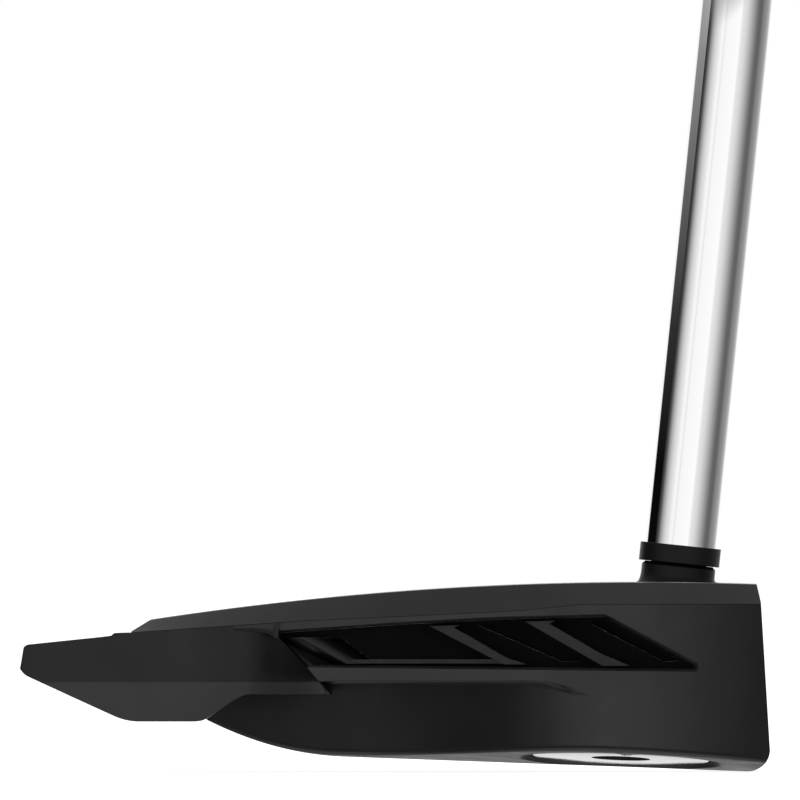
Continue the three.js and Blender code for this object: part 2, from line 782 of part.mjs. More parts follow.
// The cross-section of one wing's lip, whose outer face leans out like the wing's wall.
function wingLipSection(x, side) {
  const [start, end] = WING_LIP_ENDS;
  const reach = THREE.MathUtils.mapLinear(x, start, end, wingHalf(start), halfWidth(end));
  const low = along(WING_LIP, x);
  const high = seamZ(x) - GAP;
  const lean = WING_DRAFT / (WING_SHOULDER_Z - WING_CREASE_Z);
  const outline = [
    [WING_LIP_INNER, low],
    [reach - lean * (WING_SHOULDER_Z - low), low],
    [reach - lean * (WING_SHOULDER_Z - high), high],
    [WING_LIP_INNER, high],
  ];
  return outline.map(([y, z]) => [side * y, z]);
}

const wingStations = [
  ...spread(WING_END_X - 0.5, WING_TAIL.from, 5),
  ...spread(WING_TURNS[0].from, -35.5, 14),
];
let rearFrame = sidePrism(BRIDGE_SIDE, -WING_INNER - 1, WING_INNER + 1);
for (const side of [-1, 1]) {
  const wing = loft(wingStations, (x) => wingSection(x, side));
  const lip = loft(spread(...WING_LIP_ENDS, 8), (x) => wingLipSection(x, side));
  rearFrame = rearFrame.add(wing.intersect(sidePrism(WING_SIDE, -60, 60))).add(lip);
}

// The keel runs on inside the wings, so the frame is relieved around it.
const keelRelief = loft([-60, ...spread(KEEL_END_X, -36, 6)], (x) => {
  const half = lowerHalfWidth(Math.max(x, KEEL_END_X)) + WAIST_LEAN + GAP + 0.2;
  return [
    [-half, 0],
    [half, 0],
    [half, KEEL_TOP + GAP],
    [-half, KEEL_TOP + GAP],
  ];
});
const reliefTrim = [
  [-54.9, 0],
  [-30, 0],
  [-30, 12],
  [-54.9, 12],
];
rearFrame = rearFrame.subtract(keelRelief.intersect(sidePrism(reliefTrim, -60, 60)));

// Four screws hold the frame's tongue down on the keel, from below.
const SCREWS = { x: [-50.5, -43.5], y: 11, head: 3.0, shank: 1.8, top: 14.5 };
function frameScrew(x) {
  const low = soleZ(x - SCREWS.head) + 0.35;
  return { low, seat: low + 1.8 };
}
for (const x of SCREWS.x) {
  for (const [label, side] of [["toe", -1], ["heel", 1]]) {
    const { low, seat } = frameScrew(x);
    const driver = solid(turned([[0, low - 1], [1.2, low - 1], [1.2, low + 1.2], [0, low + 1.2]], 6));
    const blank = solid(
      turned(
        [
          [0, low],
          [SCREWS.head, low],
          [SCREWS.shank, seat],
          [SCREWS.shank, SCREWS.top],
          [0, SCREWS.top],
        ],
        24,
      ),
    );
    const hole = solid(
      turned(
        [
          [0, -10],
          [SCREWS.head + GAP, -10],
          [SCREWS.head + GAP, low],
          [SCREWS.shank + GAP, seat],
          [SCREWS.shank + GAP, SCREWS.top + GAP],
          [0, SCREWS.top + GAP],
        ],
        24,
      ),
    ).translate([x, side * SCREWS.y, 0]);
    const position = x === SCREWS.x[0] ? "rear" : "front";
    const screw = piece(`${label}_${position}_screw`, blank.subtract(driver), steel());
    screw.position.set(x, side * SCREWS.y, 0);
    body = body.subtract(hole);
    rearFrame = rearFrame.subtract(hole);
  }
}

piece("head_body", body, satinBlack());
piece("rear_frame", rearFrame, satinBlack());

// ---- Trusses in the two side windows -----------------------------------------------------------

const RIBS = [
  [[-43.6, 17.4], [-41.3, 16.7], [-35.7, 14.0], [-30.0, 14.0], [-31.5, 14.8], [-38.1, 18.0]],
  [[-24.3, 18.8], [-14.5, 13.7], [-11.4, 13.7], [-14.0, 14.5], [-21.1, 18.6], [-20.4, 18.9]],
  [[-11.6, 19.4], [-1.3, 13.5], [2.3, 13.5], [-1.5, 15.1], [-8.4, 19.1], [-7.7, 19.5]],
];
const SHELF = [[-34.9, 13.8], [-13.5, 13.8], [-15.2, 14.35], [-34.9, 14.35]];
const POCKETS = [
  [[-17.8, 18.9], [-6.6, 14.05], [-4.4, 14.15], [-4.5, 14.75], [-13.0, 19.3]],
  [[-2.8, 19.1], [6.9, 14.05], [8.8, 14.2], [-1.2, 19.5], [-2.6, 19.5]],
];

// The window outline drawn in by the assembly gap.
const inWindow = WINDOW.map(([x, z]) => {
  const inX = x > 5 ? x - 2 * GAP : x + GAP;
  const inZ = z > 15 ? z - GAP : z + GAP;
  return [x > 5 ? inX : Math.min(inX, -0.9), inZ];
});

for (const [label, side] of [["toe", -1], ["heel", 1]]) {
  let truss = windowSlab(inWindow, -FLOOR_THICK, 0, side);
  for (const rib of RIBS) {
    truss = truss.add(windowSlab(rib, -FLOOR_THICK + 0.1, TRUSS_RIB, side));
  }
  truss = truss.add(windowSlab(SHELF, -FLOOR_THICK + 0.1, TRUSS_RIB - 2, side));
  for (const pocket of POCKETS) {
    truss = truss.subtract(windowSlab(pocket, -FLOOR_THICK + 1, 5, side));
  }
  piece(`${label}_truss`, truss, darkInsert());
}

// ---- Crown and its sight lines ---------------------------------------------------------------

function crownHalf(x) {
  const outer = halfWidth(x);
  const inner = outer - CROWN_BEVEL;
  const top = crownZ(x);
  return [
    [outer, seamZ(x)],
    [inner, top - CROWN_CAMBER],
    [inner / 2, top - CROWN_CAMBER / 4],
    [1.5, top],
  ];
}
const crownStations = [
  ...spread(CROWN_END_X, -52.3, 3),
  ...spread(-46, -12, 7),
  -8,
  ...spread(-4, 19, 7),
  21.3,
];
const CROWN_SIDE = [
  [CROWN_END_X, 10],
  [faceX(10), 10],
  [faceX(22.0), 22.0],
  [FACE_TOP_X, crownZ(FACE_TOP_X) + 0.05],
  [FACE_TOP_X - 1.5, 40],
  [CROWN_TAIL_X, 40],
  [CROWN_TAIL_X, crownZ(CROWN_TAIL_X) - 0.1],
  [CROWN_END_X, 18.1],
];
const LINES = [
  { name: "sight_line", y: 0, half: 0.8, back: -58, front: -2 },
  { name: "toe_side_line", y: -21.4, half: 0.5, back: -50, front: -18 },
  { name: "heel_side_line", y: 21.4, half: 0.5, back: -50, front: -18 },
];
const LINE_DEPTH = 0.7;

let crown = loft(crownStations, (x) => mirrored(crownHalf(x)));
crown = crown.intersect(sidePrism(CROWN_SIDE, -60, 60));
crown = crown.subtract(inFrame(postHole, hosel));

// A strip that follows the crown's arc, from a depth under the surface up to a height over it.
function crownStrip({ y, half, back, front }, depth, height) {
  return loft(spread(back, front, 6), (x) => {
    const inner = halfWidth(x) - CROWN_BEVEL;
    const drop = CROWN_CAMBER * (Math.abs(y) / inner) ** 2;
    const top = crownZ(x) - drop;
    return [
      [y - half, top - depth],
      [y + half, top - depth],
      [y + half, top + height],
      [y - half, top + height],
    ];
  });
}
for (const mark of LINES) {
  const slot = { ...mark, half: mark.half + 0.2, back: mark.back - 0.2, front: mark.front + 0.2 };
  crown = crown.subtract(crownStrip(slot, LINE_DEPTH + 0.2, 5));
  piece(mark.name, crownStrip(mark, LINE_DEPTH, -0.15), white());
}
piece("crown_plate", crown, satinBlack());

export default putter;
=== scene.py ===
import math

import bmesh
import bpy
from mathutils import Matrix, Quaternion, Vector


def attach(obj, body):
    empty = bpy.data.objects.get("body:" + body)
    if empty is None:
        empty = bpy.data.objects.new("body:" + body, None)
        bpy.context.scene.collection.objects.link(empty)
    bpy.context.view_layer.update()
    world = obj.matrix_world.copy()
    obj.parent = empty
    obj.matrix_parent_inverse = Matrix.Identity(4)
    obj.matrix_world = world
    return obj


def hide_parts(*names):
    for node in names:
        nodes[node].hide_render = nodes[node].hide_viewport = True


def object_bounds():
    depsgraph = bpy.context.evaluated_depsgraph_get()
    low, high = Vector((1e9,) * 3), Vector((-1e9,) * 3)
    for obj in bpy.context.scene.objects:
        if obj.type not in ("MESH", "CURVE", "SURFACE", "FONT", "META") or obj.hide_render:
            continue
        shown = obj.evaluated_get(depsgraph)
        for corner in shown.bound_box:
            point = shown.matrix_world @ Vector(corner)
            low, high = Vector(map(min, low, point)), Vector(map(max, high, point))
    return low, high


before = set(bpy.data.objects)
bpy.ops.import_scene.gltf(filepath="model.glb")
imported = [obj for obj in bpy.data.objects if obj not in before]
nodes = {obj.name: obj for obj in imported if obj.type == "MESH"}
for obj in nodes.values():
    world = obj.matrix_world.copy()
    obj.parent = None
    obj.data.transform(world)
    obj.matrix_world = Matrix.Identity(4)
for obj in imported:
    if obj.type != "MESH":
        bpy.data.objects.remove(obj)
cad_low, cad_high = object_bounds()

MM = 0.001
scene = bpy.context.scene


# ---- Driving dimensions, as in the CAD ---------------------------------------------------------

GAP = 0.3
LEADING_EDGE = 21.0
WIDEST_X = -2.0
HALF_WIDTH = 48.0
FRONT_REACH = 38.6
REAR_TAPER = 240.0
LOFT = math.radians(3.42)
FACE_FOOT_Z = 1.6
FACE_TOP_X = 19.2
NOSE_RADIUS = 3.0
CROWN_TOP = 24.7
CROWN_APEX_X = 4.0
CROWN_RADIUS = 433.0
CROWN_TAIL_X = -61.8
CROWN_END_X = -64.2
CROWN_BEVEL = 6.0
CROWN_CAMBER = 0.1
SOLE_RISE = 0.0365
SOLE_FLAT_HALF = 20.0
SOLE_CANT = math.radians(4.3)
KEEL_BREAK_X = -36.0
KEEL_END_X = -54.3
KEEL_END_Z = 6.2
KEEL_TOP = 9.6
WAIST_START_X = -1.0
WAIST_LENGTH = 34.0
WAIST_DEPTH = 19.0
LIP_Z = 11.45
LIP_FADE_Z = 8.8
WAIST_LEAN = 1.2
WING_END_X = -78.9
WING_HALF = 44.5
WING_DRAFT = 0.8
WING_INNER = 24.0
WING_FLOOR = 6.08
WING_CREASE_Z = 11.33
WING_BEVEL = 5.0
WING_SHOULDER_Z = 18.9
BRIDGE_END_X = -67.0
TRUSS_FLOOR_Y = 38.5
TRUSS_SPLAY = 0.09
TRUSS_RIB = 4.5
TRUSS_THICK = 3.0
WEIGHT_X = 1.1
WEIGHT_Y = 31.0
WEIGHT_RADIUS = 12.0
POCKET_RADIUS = 13.5
POCKET_DEPTH = 5.2
HOSEL = Vector((8.57, 20.0, 24.67))
SHAFT_LEAN = math.radians(5.9)
LIE_LEAN = math.radians(20.0)
MIDDLE_LEAN = math.radians(32.0)
TIP_RADIUS = 4.82
BUTT_RADIUS = 7.35
SHAFT_WALL = 0.6
SHAFT_STEPS = 6
SHAFT_FOOT = 2.65
LOWER_LEG = 85.0
MIDDLE_LEG = 47.0
BEND_RADIUS = 55.0
OVERALL_LENGTH = 864.0
GRIP_LENGTH = 267.0
GRIP_CAP = 4.0

# Where the wings' outer wall starts to turn in, over what length and how far: twice towards the
# front, and once towards the tail.
WING_TURNS = [(-58.0, 14.0, 4.0), (-49.0, 12.5, 6.7)]
WING_TAIL = (-68.0, 11.0, 3.2)

# Cuts and trims reach beyond the head: behind it, above it and past its sides.
BEHIND = -120
ABOVE = 40
ASIDE = 60


# ---- Mesh helpers ------------------------------------------------------------------------------

def new_object(name, vertices, faces):
    """A mesh object from vertices in millimetres, with its faces turned outwards."""
    mesh = bpy.data.meshes.new(name)
    mesh.from_pydata([tuple(c * MM for c in v) for v in vertices], [], faces)
    work = bmesh.new()
    work.from_mesh(mesh)
    bmesh.ops.recalc_face_normals(work, faces=work.faces)
    work.to_mesh(mesh)
    work.free()
    obj = bpy.data.objects.new(name, mesh)
    scene.collection.objects.link(obj)
    return obj


def spread(first, last, count):
    """Evenly spaced values from first to last, with count steps between them."""
    return [first + (last - first) * i / count for i in range(count + 1)]


def smooth(t):
    t = min(1.0, max(0.0, t))
    return t * t * (3 - 2 * t)


def full_turn(sides):
    return [2 * math.pi * k / sides for k in range(sides)]


def mix(a, b, t):
    return a + (b - a) * t


def along(points, x):
    """The value at x of a line through a few points, listed with x rising."""
    for (x0, v0), (x1, v1) in zip(points, points[1:]):
        if x <= x1:
            break
    return mix(v0, v1, (x - x0) / (x1 - x0))


def skin(name, rings, cyclic=False):
    """Rings of points, one after the other, joined into a closed skin."""
    size = len(rings[0])
    count = len(rings)
    vertices = [v for ring in rings for v in ring]
    faces = []
    for r in range(count if cyclic else count - 1):
        for i in range(size):
            j = (i + 1) % size
            s = (r + 1) % count
            faces.append((r * size + i, r * size + j, s * size + j, s * size + i))
    if not cyclic:
        faces.append(tuple(reversed(range(size))))
        faces.append(tuple((count - 1) * size + i for i in range(size)))
    return new_object(name, vertices, faces)


def loft(name, stations, section):
    """A skin through the (y, z) sections at a row of x stations."""
    return skin(name, [[(x, y, z) for y, z in section(x)] for x in stations])


def side_prism(name, outline, low, high):
    """An outline in (x, z), carried across from y = low to y = high."""
    return skin(name, [[(x, y, z) for x, z in outline] for y in (low, high)])


def mirrored(half):
    """A whole section from the half on the +Y side."""
    return half + [(-y, z) for y, z in reversed(half)]


def lathe(name, profile, sides, frame_matrix=Matrix.Identity(4)):
    """A turned piece from a closed profile of (radius, z), or one that ends on the axis."""
    rings = []
    for turn in full_turn(sides):
        points = [Vector((r * math.cos(turn), r * math.sin(turn), z)) for r, z in profile]
        rings.append([frame_matrix @ point for point in points])
    obj = skin(name, rings, cyclic=True)
    work = bmesh.new()
    work.from_mesh(obj.data)
    bmesh.ops.remove_doubles(work, verts=work.verts, dist=1e-7)
    bmesh.ops.dissolve_degenerate(work, edges=work.edges, dist=1e-7)
    bmesh.ops.recalc_face_normals(work, faces=work.faces)
    work.to_mesh(obj.data)
    work.free()
    return obj


def rounded(profile, radius, steps):
    """A profile with each corner replaced by a short curve, and its two ends left as they are."""
    points = [Vector(point) for point in profile]
    out = [points[0]]
    for before, corner, after in zip(points, points[1:], points[2:]):
        a = before - corner
        b = after - corner
        cut = min(radius, a.length * 0.45, b.length * 0.45)
        start = corner + a.normalized() * cut
        end = corner + b.normalized() * cut
        for t in spread(0, 1, steps):
            out.append(start * (1 - t) ** 2 + corner * 2 * t * (1 - t) + end * t * t)
    return out + [points[-1]]


def bake(obj):
    """Applies an object's modifiers to its mesh."""
    graph = bpy.context.evaluated_depsgraph_get()
    mesh = bpy.data.meshes.new_from_object(obj.evaluated_get(graph))
    obj.modifiers.clear()
    obj.data = mesh


def combine(obj, operation, *others):
    """Cuts, joins or trims obj with the others, which are used up."""
    for other in others:
        modifier = obj.modifiers.new("combine", "BOOLEAN")
        modifier.operation = operation
        modifier.solver = "EXACT"
        modifier.object = other
        bake(obj)
        bpy.data.objects.remove(other)
    return obj


def finish_edges(obj, width, angle=28, shade=40):
    """Rounds the edges sharper than angle by width, and shades across those flatter than shade."""
    work = bmesh.new()
    work.from_mesh(obj.data)
    bmesh.ops.remove_doubles(work, verts=work.verts, dist=2e-5)
    bmesh.ops.dissolve_degenerate(work, edges=work.edges, dist=1e-5)
    work.to_mesh(obj.data)
    work.free()
    if width:
        bevel = obj.modifiers.new("bevel", "BEVEL")
        bevel.width = width * MM
        bevel.segments = 2
        bevel.limit_method = "ANGLE"
        bevel.angle_limit = math.radians(angle)
        bevel.use_clamp_overlap = True
        bevel.miter_outer = "MITER_ARC"
        bake(obj)
    for face in obj.data.polygons:
        face.use_smooth = True
    obj.data.set_sharp_from_angle(angle=math.radians(shade))
    normals = obj.modifiers.new("normals", "WEIGHTED_NORMAL")
    normals.keep_sharp = True
    bake(obj)
    return obj


# ---- The head's surfaces -----------------------------------------------------------------------

def half_width(x):
    away = x - WIDEST_X
    if away > 0:
        return HALF_WIDTH * math.sqrt(1 - (away / FRONT_REACH) ** 2)
    return HALF_WIDTH - away ** 2 / REAR_TAPER


def crown_z(x):
    return CROWN_TOP - (x - CROWN_APEX_X) ** 2 / (2 * CROWN_RADIUS)


SEAM = [
    (CROWN_END_X, 17.9),
    (-52.3, 18.7),
    (-40.8, 19.5),
    (-28.3, 20.05),
    (-12.0, 20.85),
    (-4.0, 21.7),
    (24.0, 21.7),
]


def seam_z(x):
    return along(SEAM, x)


def sole_z(x):
    plane = -SOLE_RISE * x
    if x > KEEL_BREAK_X:
        return plane
    t = (KEEL_BREAK_X - x) / (KEEL_BREAK_X - KEEL_END_X)
    climb = KEEL_END_Z + SOLE_RISE * KEEL_END_X
    return plane + climb * t * t


def crown_surface(x, y):
    """The crown's height inside its sloped border, with the slight camber from side to side."""
    inner = half_width(x) - CROWN_BEVEL
    return crown_z(x) - CROWN_CAMBER * (abs(y) / inner) ** 2


def sole_z_at(x, y):
    return sole_z(x) + max(0.0, abs(y) - SOLE_FLAT_HALF) * math.tan(SOLE_CANT)


def waist(x):
    return smooth((WAIST_START_X - x) / WAIST_LENGTH)


def lower_half_width(x):
    return half_width(x) - 0.4 - WAIST_DEPTH * waist(x)


def face_x(z):
    return LEADING_EDGE - (z - FACE_FOOT_Z) * math.tan(LOFT)


def front_trim(low, high):
    """The side outline of everything behind the face and above the round at its foot."""
    nose_x = LEADING_EDGE - NOSE_RADIUS
    nose_z = sole_z(nose_x) + NOSE_RADIUS
    nose = []
    for angle in spread(-90, -3, 14):
        turn = math.radians(angle)
        nose.append((nose_x + NOSE_RADIUS * math.cos(turn), nose_z + NOSE_RADIUS * math.sin(turn)))
    return [(BEHIND, low), (nose_x, low), *nose, (face_x(high), high), (BEHIND, high)]


def wing_half(x):
    tail, run, by = WING_TAIL
    half = WING_HALF - by * max(0.0, (tail - x) / run) ** 2
    for start, run, by in WING_TURNS:
        half -= by * smooth((x - start) / run)
    return half


# ---- Frames of the tilted pieces ---------------------------------------------------------------

hosel_frame = Matrix.Translation(HOSEL) @ Matrix.Rotation(SHAFT_LEAN, 4, "Y")


def weight_frame(side):
    y = side * WEIGHT_Y
    inward = Vector((SOLE_RISE, -side * math.tan(SOLE_CANT), 1)).normalized()
    turn = Vector((0, 0, 1)).rotation_difference(inward)
    return Matrix.Translation((WEIGHT_X, y, sole_z_at(WEIGHT_X, y))) @ turn.to_matrix().to_4x4()


FACE_CENTRE_Z = 12.2
face_centre = Vector((face_x(FACE_CENTRE_Z), 0, FACE_CENTRE_Z))
face_frame = Matrix.Translation(face_centre) @ Matrix.Rotation(-LOFT, 4, "Y")


# ---- Materials ---------------------------------------------------------------------------------

def material(name, color, roughness, metallic=0.0, specular=0.5):
    """A Principled material, its node tree and its shader."""
    made = bpy.data.materials.new(name)
    made.use_nodes = True
    shader = made.node_tree.nodes["Principled BSDF"]
    shader.inputs["Base Color"].default_value = (*color, 1)
    shader.inputs["Roughness"].default_value = roughness
    shader.inputs["Metallic"].default_value = metallic
    shader.inputs["Specular IOR Level"].default_value = specular
    return made, made.node_tree, shader


def object_point(tree):
    return tree.nodes.new("ShaderNodeTexCoord").outputs["Object"]


def noise(tree, point, scale, detail=2.0):
    node = tree.nodes.new("ShaderNodeTexNoise")
    node.inputs["Scale"].default_value = scale
    node.inputs["Detail"].default_value = detail
    tree.links.new(point, node.inputs["Vector"])
    return node.outputs["Fac"]


def ranged(tree, value, low, high, from_low=0.3, from_high=0.7):
    node = tree.nodes.new("ShaderNodeMapRange")
    node.inputs["From Min"].default_value = from_low
    node.inputs["From Max"].default_value = from_high
    node.inputs["To Min"].default_value = low
    node.inputs["To Max"].default_value = high
    tree.links.new(value, node.inputs["Value"])
    return node.outputs["Result"]


def mix_colors(tree, factor, first, second):
    """A blend of two colours, each a plain (r, g, b) or the output of another node."""
    node = tree.nodes.new("ShaderNodeMix")
    node.data_type = "RGBA"
    tree.links.new(factor, node.inputs["Factor"])
    for name, value in (("A", first), ("B", second)):
        if isinstance(value, tuple):
            node.inputs[name].default_value = (*value, 1)
        else:
            tree.links.new(value, node.inputs[name])
    return node.outputs["Result"]


def mottled(tree, shader, point, scale, detail, first, second):
    """The base colour, drifting between two close shades."""
    share = ranged(tree, noise(tree, point, scale, detail), 0, 1)
    tree.links.new(mix_colors(tree, share, first, second), shader.inputs["Base Color"])


def worn(tree, shader, point, scale, detail, low, high):
    """The roughness, drifting between two values."""
    rough = ranged(tree, noise(tree, point, scale, detail), low, high)
    tree.links.new(rough, shader.inputs["Roughness"])


def math_node(tree, operation, first, second=None):
    node = tree.nodes.new("ShaderNodeMath")
    node.operation = operation
    for socket, value in zip(node.inputs, (first, second)):
        if isinstance(value, float):
            socket.default_value = value
        elif value is not None:
            tree.links.new(value, socket)
    return node.outputs[0]


def vector_node(tree, operation, value, fixed=None):
    node = tree.nodes.new("ShaderNodeVectorMath")
    node.operation = operation
    tree.links.new(value, node.inputs[0])
    if fixed is not None:
        node.inputs[1].default_value = fixed
    return node


def level_ramp(tree, value, stops, unit=1.0):
    """Grey levels along a value, from stops of (place, level) with places in the given unit."""
    first = stops[0][0]
    last = stops[-1][0]
    ramp = tree.nodes.new("ShaderNodeValToRGB")
    tree.links.new(ranged(tree, value, 0, 1, first * unit, last * unit), ramp.inputs["Fac"])
    elements = ramp.color_ramp.elements
    elements.remove(elements[1])
    for i, (place, level) in enumerate(stops):
        position = (place - first) / (last - first)
        stop = elements[0] if i == 0 else elements.new(position)
        stop.position = position
        stop.color = (level, level, level, 1)
    return ramp.outputs["Color"]


def bump(tree, shader, height, strength, distance):
    node = tree.nodes.new("ShaderNodeBump")
    node.inputs["Strength"].default_value = strength
    node.inputs["Distance"].default_value = distance
    tree.links.new(height, node.inputs["Height"])
    tree.links.new(node.outputs["Normal"], shader.inputs["Normal"])


def coated(name, dark, light, roughness, specular=0.5):
    """Black coating on metal: faint mottling, fine blasted grain."""
    made, tree, shader = material(name, dark, roughness, 0.0, specular)
    point = object_point(tree)
    mottled(tree, shader, point, 90.0, 3.0, dark, light)
    worn(tree, shader, point, 260.0, 4.0, roughness - 0.03, roughness + 0.04)
    bump(tree, shader, noise(tree, point, 5200.0, 1.0), 0.05, 0.00002)
    return made


satin_black = coated("satin_black_coating", (0.0045, 0.0045, 0.0047), (0.0075, 0.0075, 0.0078), 0.3)
deep_black = coated("deep_matt_black", (0.0015, 0.0015, 0.0016), (0.003, 0.003, 0.003), 0.62, 0.12)
# Light grey for the upward-facing bevels round the truss pockets: a painted highlight.
edge_highlight = coated("painted_edge_highlight", (0.4, 0.4, 0.4), (0.5, 0.5, 0.5), 0.4)
truss_black = coated("truss_black", (0.004, 0.004, 0.0042), (0.006, 0.006, 0.0063), 0.32, 0.4)
ring_black = coated("ring_black", (0.004, 0.004, 0.004), (0.006, 0.006, 0.006), 0.42, 0.32)


def polished(name, color, roughness, streak):
    """Plated metal with the faint haze that polishing leaves."""
    made, tree, shader = material(name, color, roughness, 1.0)
    point = object_point(tree)
    worn(tree, shader, point, 140.0, 3.0, roughness * 0.7, roughness * 1.5)
    bump(tree, shader, noise(tree, point, 2600.0, 2.0), streak, 0.000004)
    return made


chrome = polished("chrome_plate", (0.93, 0.93, 0.935), 0.045, 0.03)
plain_steel = polished("turned_steel", (0.48, 0.48, 0.49), 0.3, 0.3)
black_steel = polished("black_oxide_steel", (0.045, 0.045, 0.047), 0.36, 0.3)


TOOL_RING_PITCH = 0.00028


def turned_metal(name, centre, axis, color, roughness):
    """Polished disc with fine concentric tool rings round an axis."""
    made, tree, shader = material(name, color, roughness, 1.0)
    point = object_point(tree)
    away = vector_node(tree, "SUBTRACT", point, centre)
    across = vector_node(tree, "CROSS_PRODUCT", away.outputs[0], axis)
    radius = vector_node(tree, "LENGTH", across.outputs[0]).outputs["Value"]
    phase = math_node(tree, "MULTIPLY", radius, 2 * math.pi / TOOL_RING_PITCH)
    bump(tree, shader, math_node(tree, "SINE", phase), 0.05, 0.00001)
    worn(tree, shader, point, 300.0, 2.0, roughness * 0.8, roughness * 1.3)
    return made


def rubber_material(name, color, roughness, cell, depth):
    """Moulded rubber with a fine pebbled skin."""
    made, tree, shader = material(name, color, roughness, 0.0, 0.35)
    point = object_point(tree)
    cells = tree.nodes.new("ShaderNodeTexVoronoi")
    cells.inputs["Scale"].default_value = cell
    tree.links.new(point, cells.inputs["Vector"])
    bump(tree, shader, cells.outputs["Distance"], 0.5, depth)
    mottled(tree, shader, point, 60.0, 3.0, color, tuple(c * 1.7 for c in color))
    worn(tree, shader, point, 220.0, 3.0, roughness - 0.06, roughness + 0.08)
    return made


grip_rubber = rubber_material("grip_rubber", (0.014, 0.014, 0.014), 0.62, 1500.0, 0.00006)
plain_rubber = rubber_material("plain_rubber", (0.012, 0.012, 0.012), 0.55, 5000.0, 0.00001)


def painted(name, color):
    """Paint or paper: a fine grain in colour and surface."""
    made, tree, shader = material(name, color, 0.45)
    point = object_point(tree)
    mottled(tree, shader, point, 700.0, 2.0, tuple(c * 0.9 for c in color), color)
    bump(tree, shader, noise(tree, point, 1800.0), 0.1, 0.00001)
    return made


line_white = painted("line_white", (0.82, 0.82, 0.82))
tape_paper = painted("tape_paper", (0.72, 0.69, 0.62))


def dress(obj, *finishes):
    obj.data.materials.clear()
    for finish in finishes:
        obj.data.materials.append(finish)


def stands_for(obj, node, body, slot_name, *finishes):
    """Gives a new piece its finish, its body and the CAD node that it takes the place of."""
    dress(obj, *finishes)
    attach(obj, body)
    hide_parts(node)
    return obj


# ---- Head body ---------------------------------------------------------------------------------

WINDOW = [
    (-47.5, 18.0),
    (-47.5, 13.33),
    (-40.3, 13.33),
    (11.36, 12.75),
    (11.45, 13.85),
    (-0.9, 20.4),
    (-15.1, 20.05),
    (-28.3, 19.33),
]
TAIL_CUT = [
    (BEHIND, KEEL_TOP),
    (-37.6, KEEL_TOP),
    (-44.4, 17.9),
    (-44.4, ABOVE),
    (BEHIND, ABOVE),
]
SOLE_EDGE = 0.9  # the round between the sole and the side wall
SEAM_GAP = 0.01
LIP_FADE_X = 1.5
LIP_FADE_LENGTH = 13.0


def lip_z(x):
    """The height of the ledge over the waist, which sinks as it dies away towards the face."""
    return mix(LIP_FADE_Z, LIP_Z, smooth((LIP_FADE_X - x) / LIP_FADE_LENGTH))


def arc(centre_y, centre_z, radius, first, last, steps):
    """Points on an arc, with angles in degrees from outwards round to upwards."""
    turns = [math.radians(angle) for angle in spread(first, last, steps)]
    return [(centre_y + radius * math.cos(t), centre_z + radius * math.sin(t)) for t in turns]


LEDGE_FULL_DEPTH = 2.2  # its rounds have their full size where the ledge reaches out this far


def ledge_points(wall, full, lip):
    """The waist's overhang: round under the ledge, flat ledge, small round at its lip."""
    size = min(1.0, max(0.02, full - wall) / LEDGE_FULL_DEPTH)
    under = 0.6 * size
    edge = 0.2 * size
    inside = arc(wall + under, lip - under, under, 180, 90, 8)
    outside = arc(full - edge, lip + edge, edge, -90, 0, 6)
    return inside + outside


def body_half(x):
    """Half of the body's cross-section, from the sole's flat strip up to the seam."""
    low = lower_half_width(x)
    full = half_width(x)
    lip = lip_z(x)
    flat = min(SOLE_FLAT_HALF, low - 2)
    border = low - SOLE_EDGE
    foot_z = sole_z_at(x, border)
    bottom = foot_z + SOLE_EDGE
    top = seam_z(x) - SEAM_GAP
    points = [(flat, sole_z_at(x, flat))] + arc(border, bottom, SOLE_EDGE, -86, 0, 7)
    # The wall with its ledge, and a plain wall of as many points, blended by the waist's depth.
    ledge = ledge_points(low + 0.15 + WAIST_LEAN * waist(x), full, lip)
    heights = spread(lip - 0.8, lip + 0.6, len(ledge) - 1)
    plain = [(mix(low, full, (z - bottom) / (top - bottom)), z) for z in heights]
    kept = smooth((full - low - 0.3) / 3.6)
    points += [(mix(py, ly, kept), mix(pz, lz, kept)) for (py, pz), (ly, lz) in zip(plain, ledge)]
    return points + [(full, top)]


def window_back(x):
    """How far the side windows' floor is from the middle at x."""
    return TRUSS_FLOOR_Y + TRUSS_SPLAY * x


def window_slab(name, outline, low, high, side):
    """A side outline as a slab that follows the splayed window, between two depths."""
    rings = []
    for depth in (low, high):
        rings.append([(x, side * (window_back(x) + depth), z) for x, z in outline])
    return skin(name, rings)


def stadium(name, half_length, height, x_low, x_high):
    """A slab with round ends, square to the face, between two depths."""
    radius = height / 2
    outline = []
    for centre, start in ((half_length - radius, -90), (radius - half_length, 90)):
        for angle in spread(start, start + 180, 10):
            turn = math.radians(angle)
            outline.append((centre + radius * math.cos(turn), radius * math.sin(turn)))
    rings = [[face_frame @ Vector((x, y, z)) for y, z in outline] for x in (x_low, x_high)]
    return skin(name, rings)


INSERT_HALF = 30.0
INSERT_HEIGHT = 15.0
INSERT_FIT = 0.15
INSERT_POCKET_BACK = -5.4

WEIGHT_FIT = 0.35
BUSH_BORE = (7.9, 11.5)  # radius, and how far in it ends
WEIGHT_POCKET = [
    (0, -6),
    (POCKET_RADIUS + 6, -6),
    (POCKET_RADIUS, 0.05),
    (POCKET_RADIUS - 0.75, 0.95),
    (WEIGHT_RADIUS + WEIGHT_FIT, 1.25),
    (WEIGHT_RADIUS + WEIGHT_FIT, POCKET_DEPTH),
    (BUSH_BORE[0], POCKET_DEPTH),
    BUSH_BORE,
    (0, BUSH_BORE[1]),
]
POST_BORE_DEPTH = 11.3
SCREW_PLACES = [(x, y) for x in (-50.5, -43.5) for y in (-11, 11)]
SCREW_HEAD_HOLE = 3.2
SCREW_SHANK_HOLE = 2.0
SCREW_TOP = 14.8


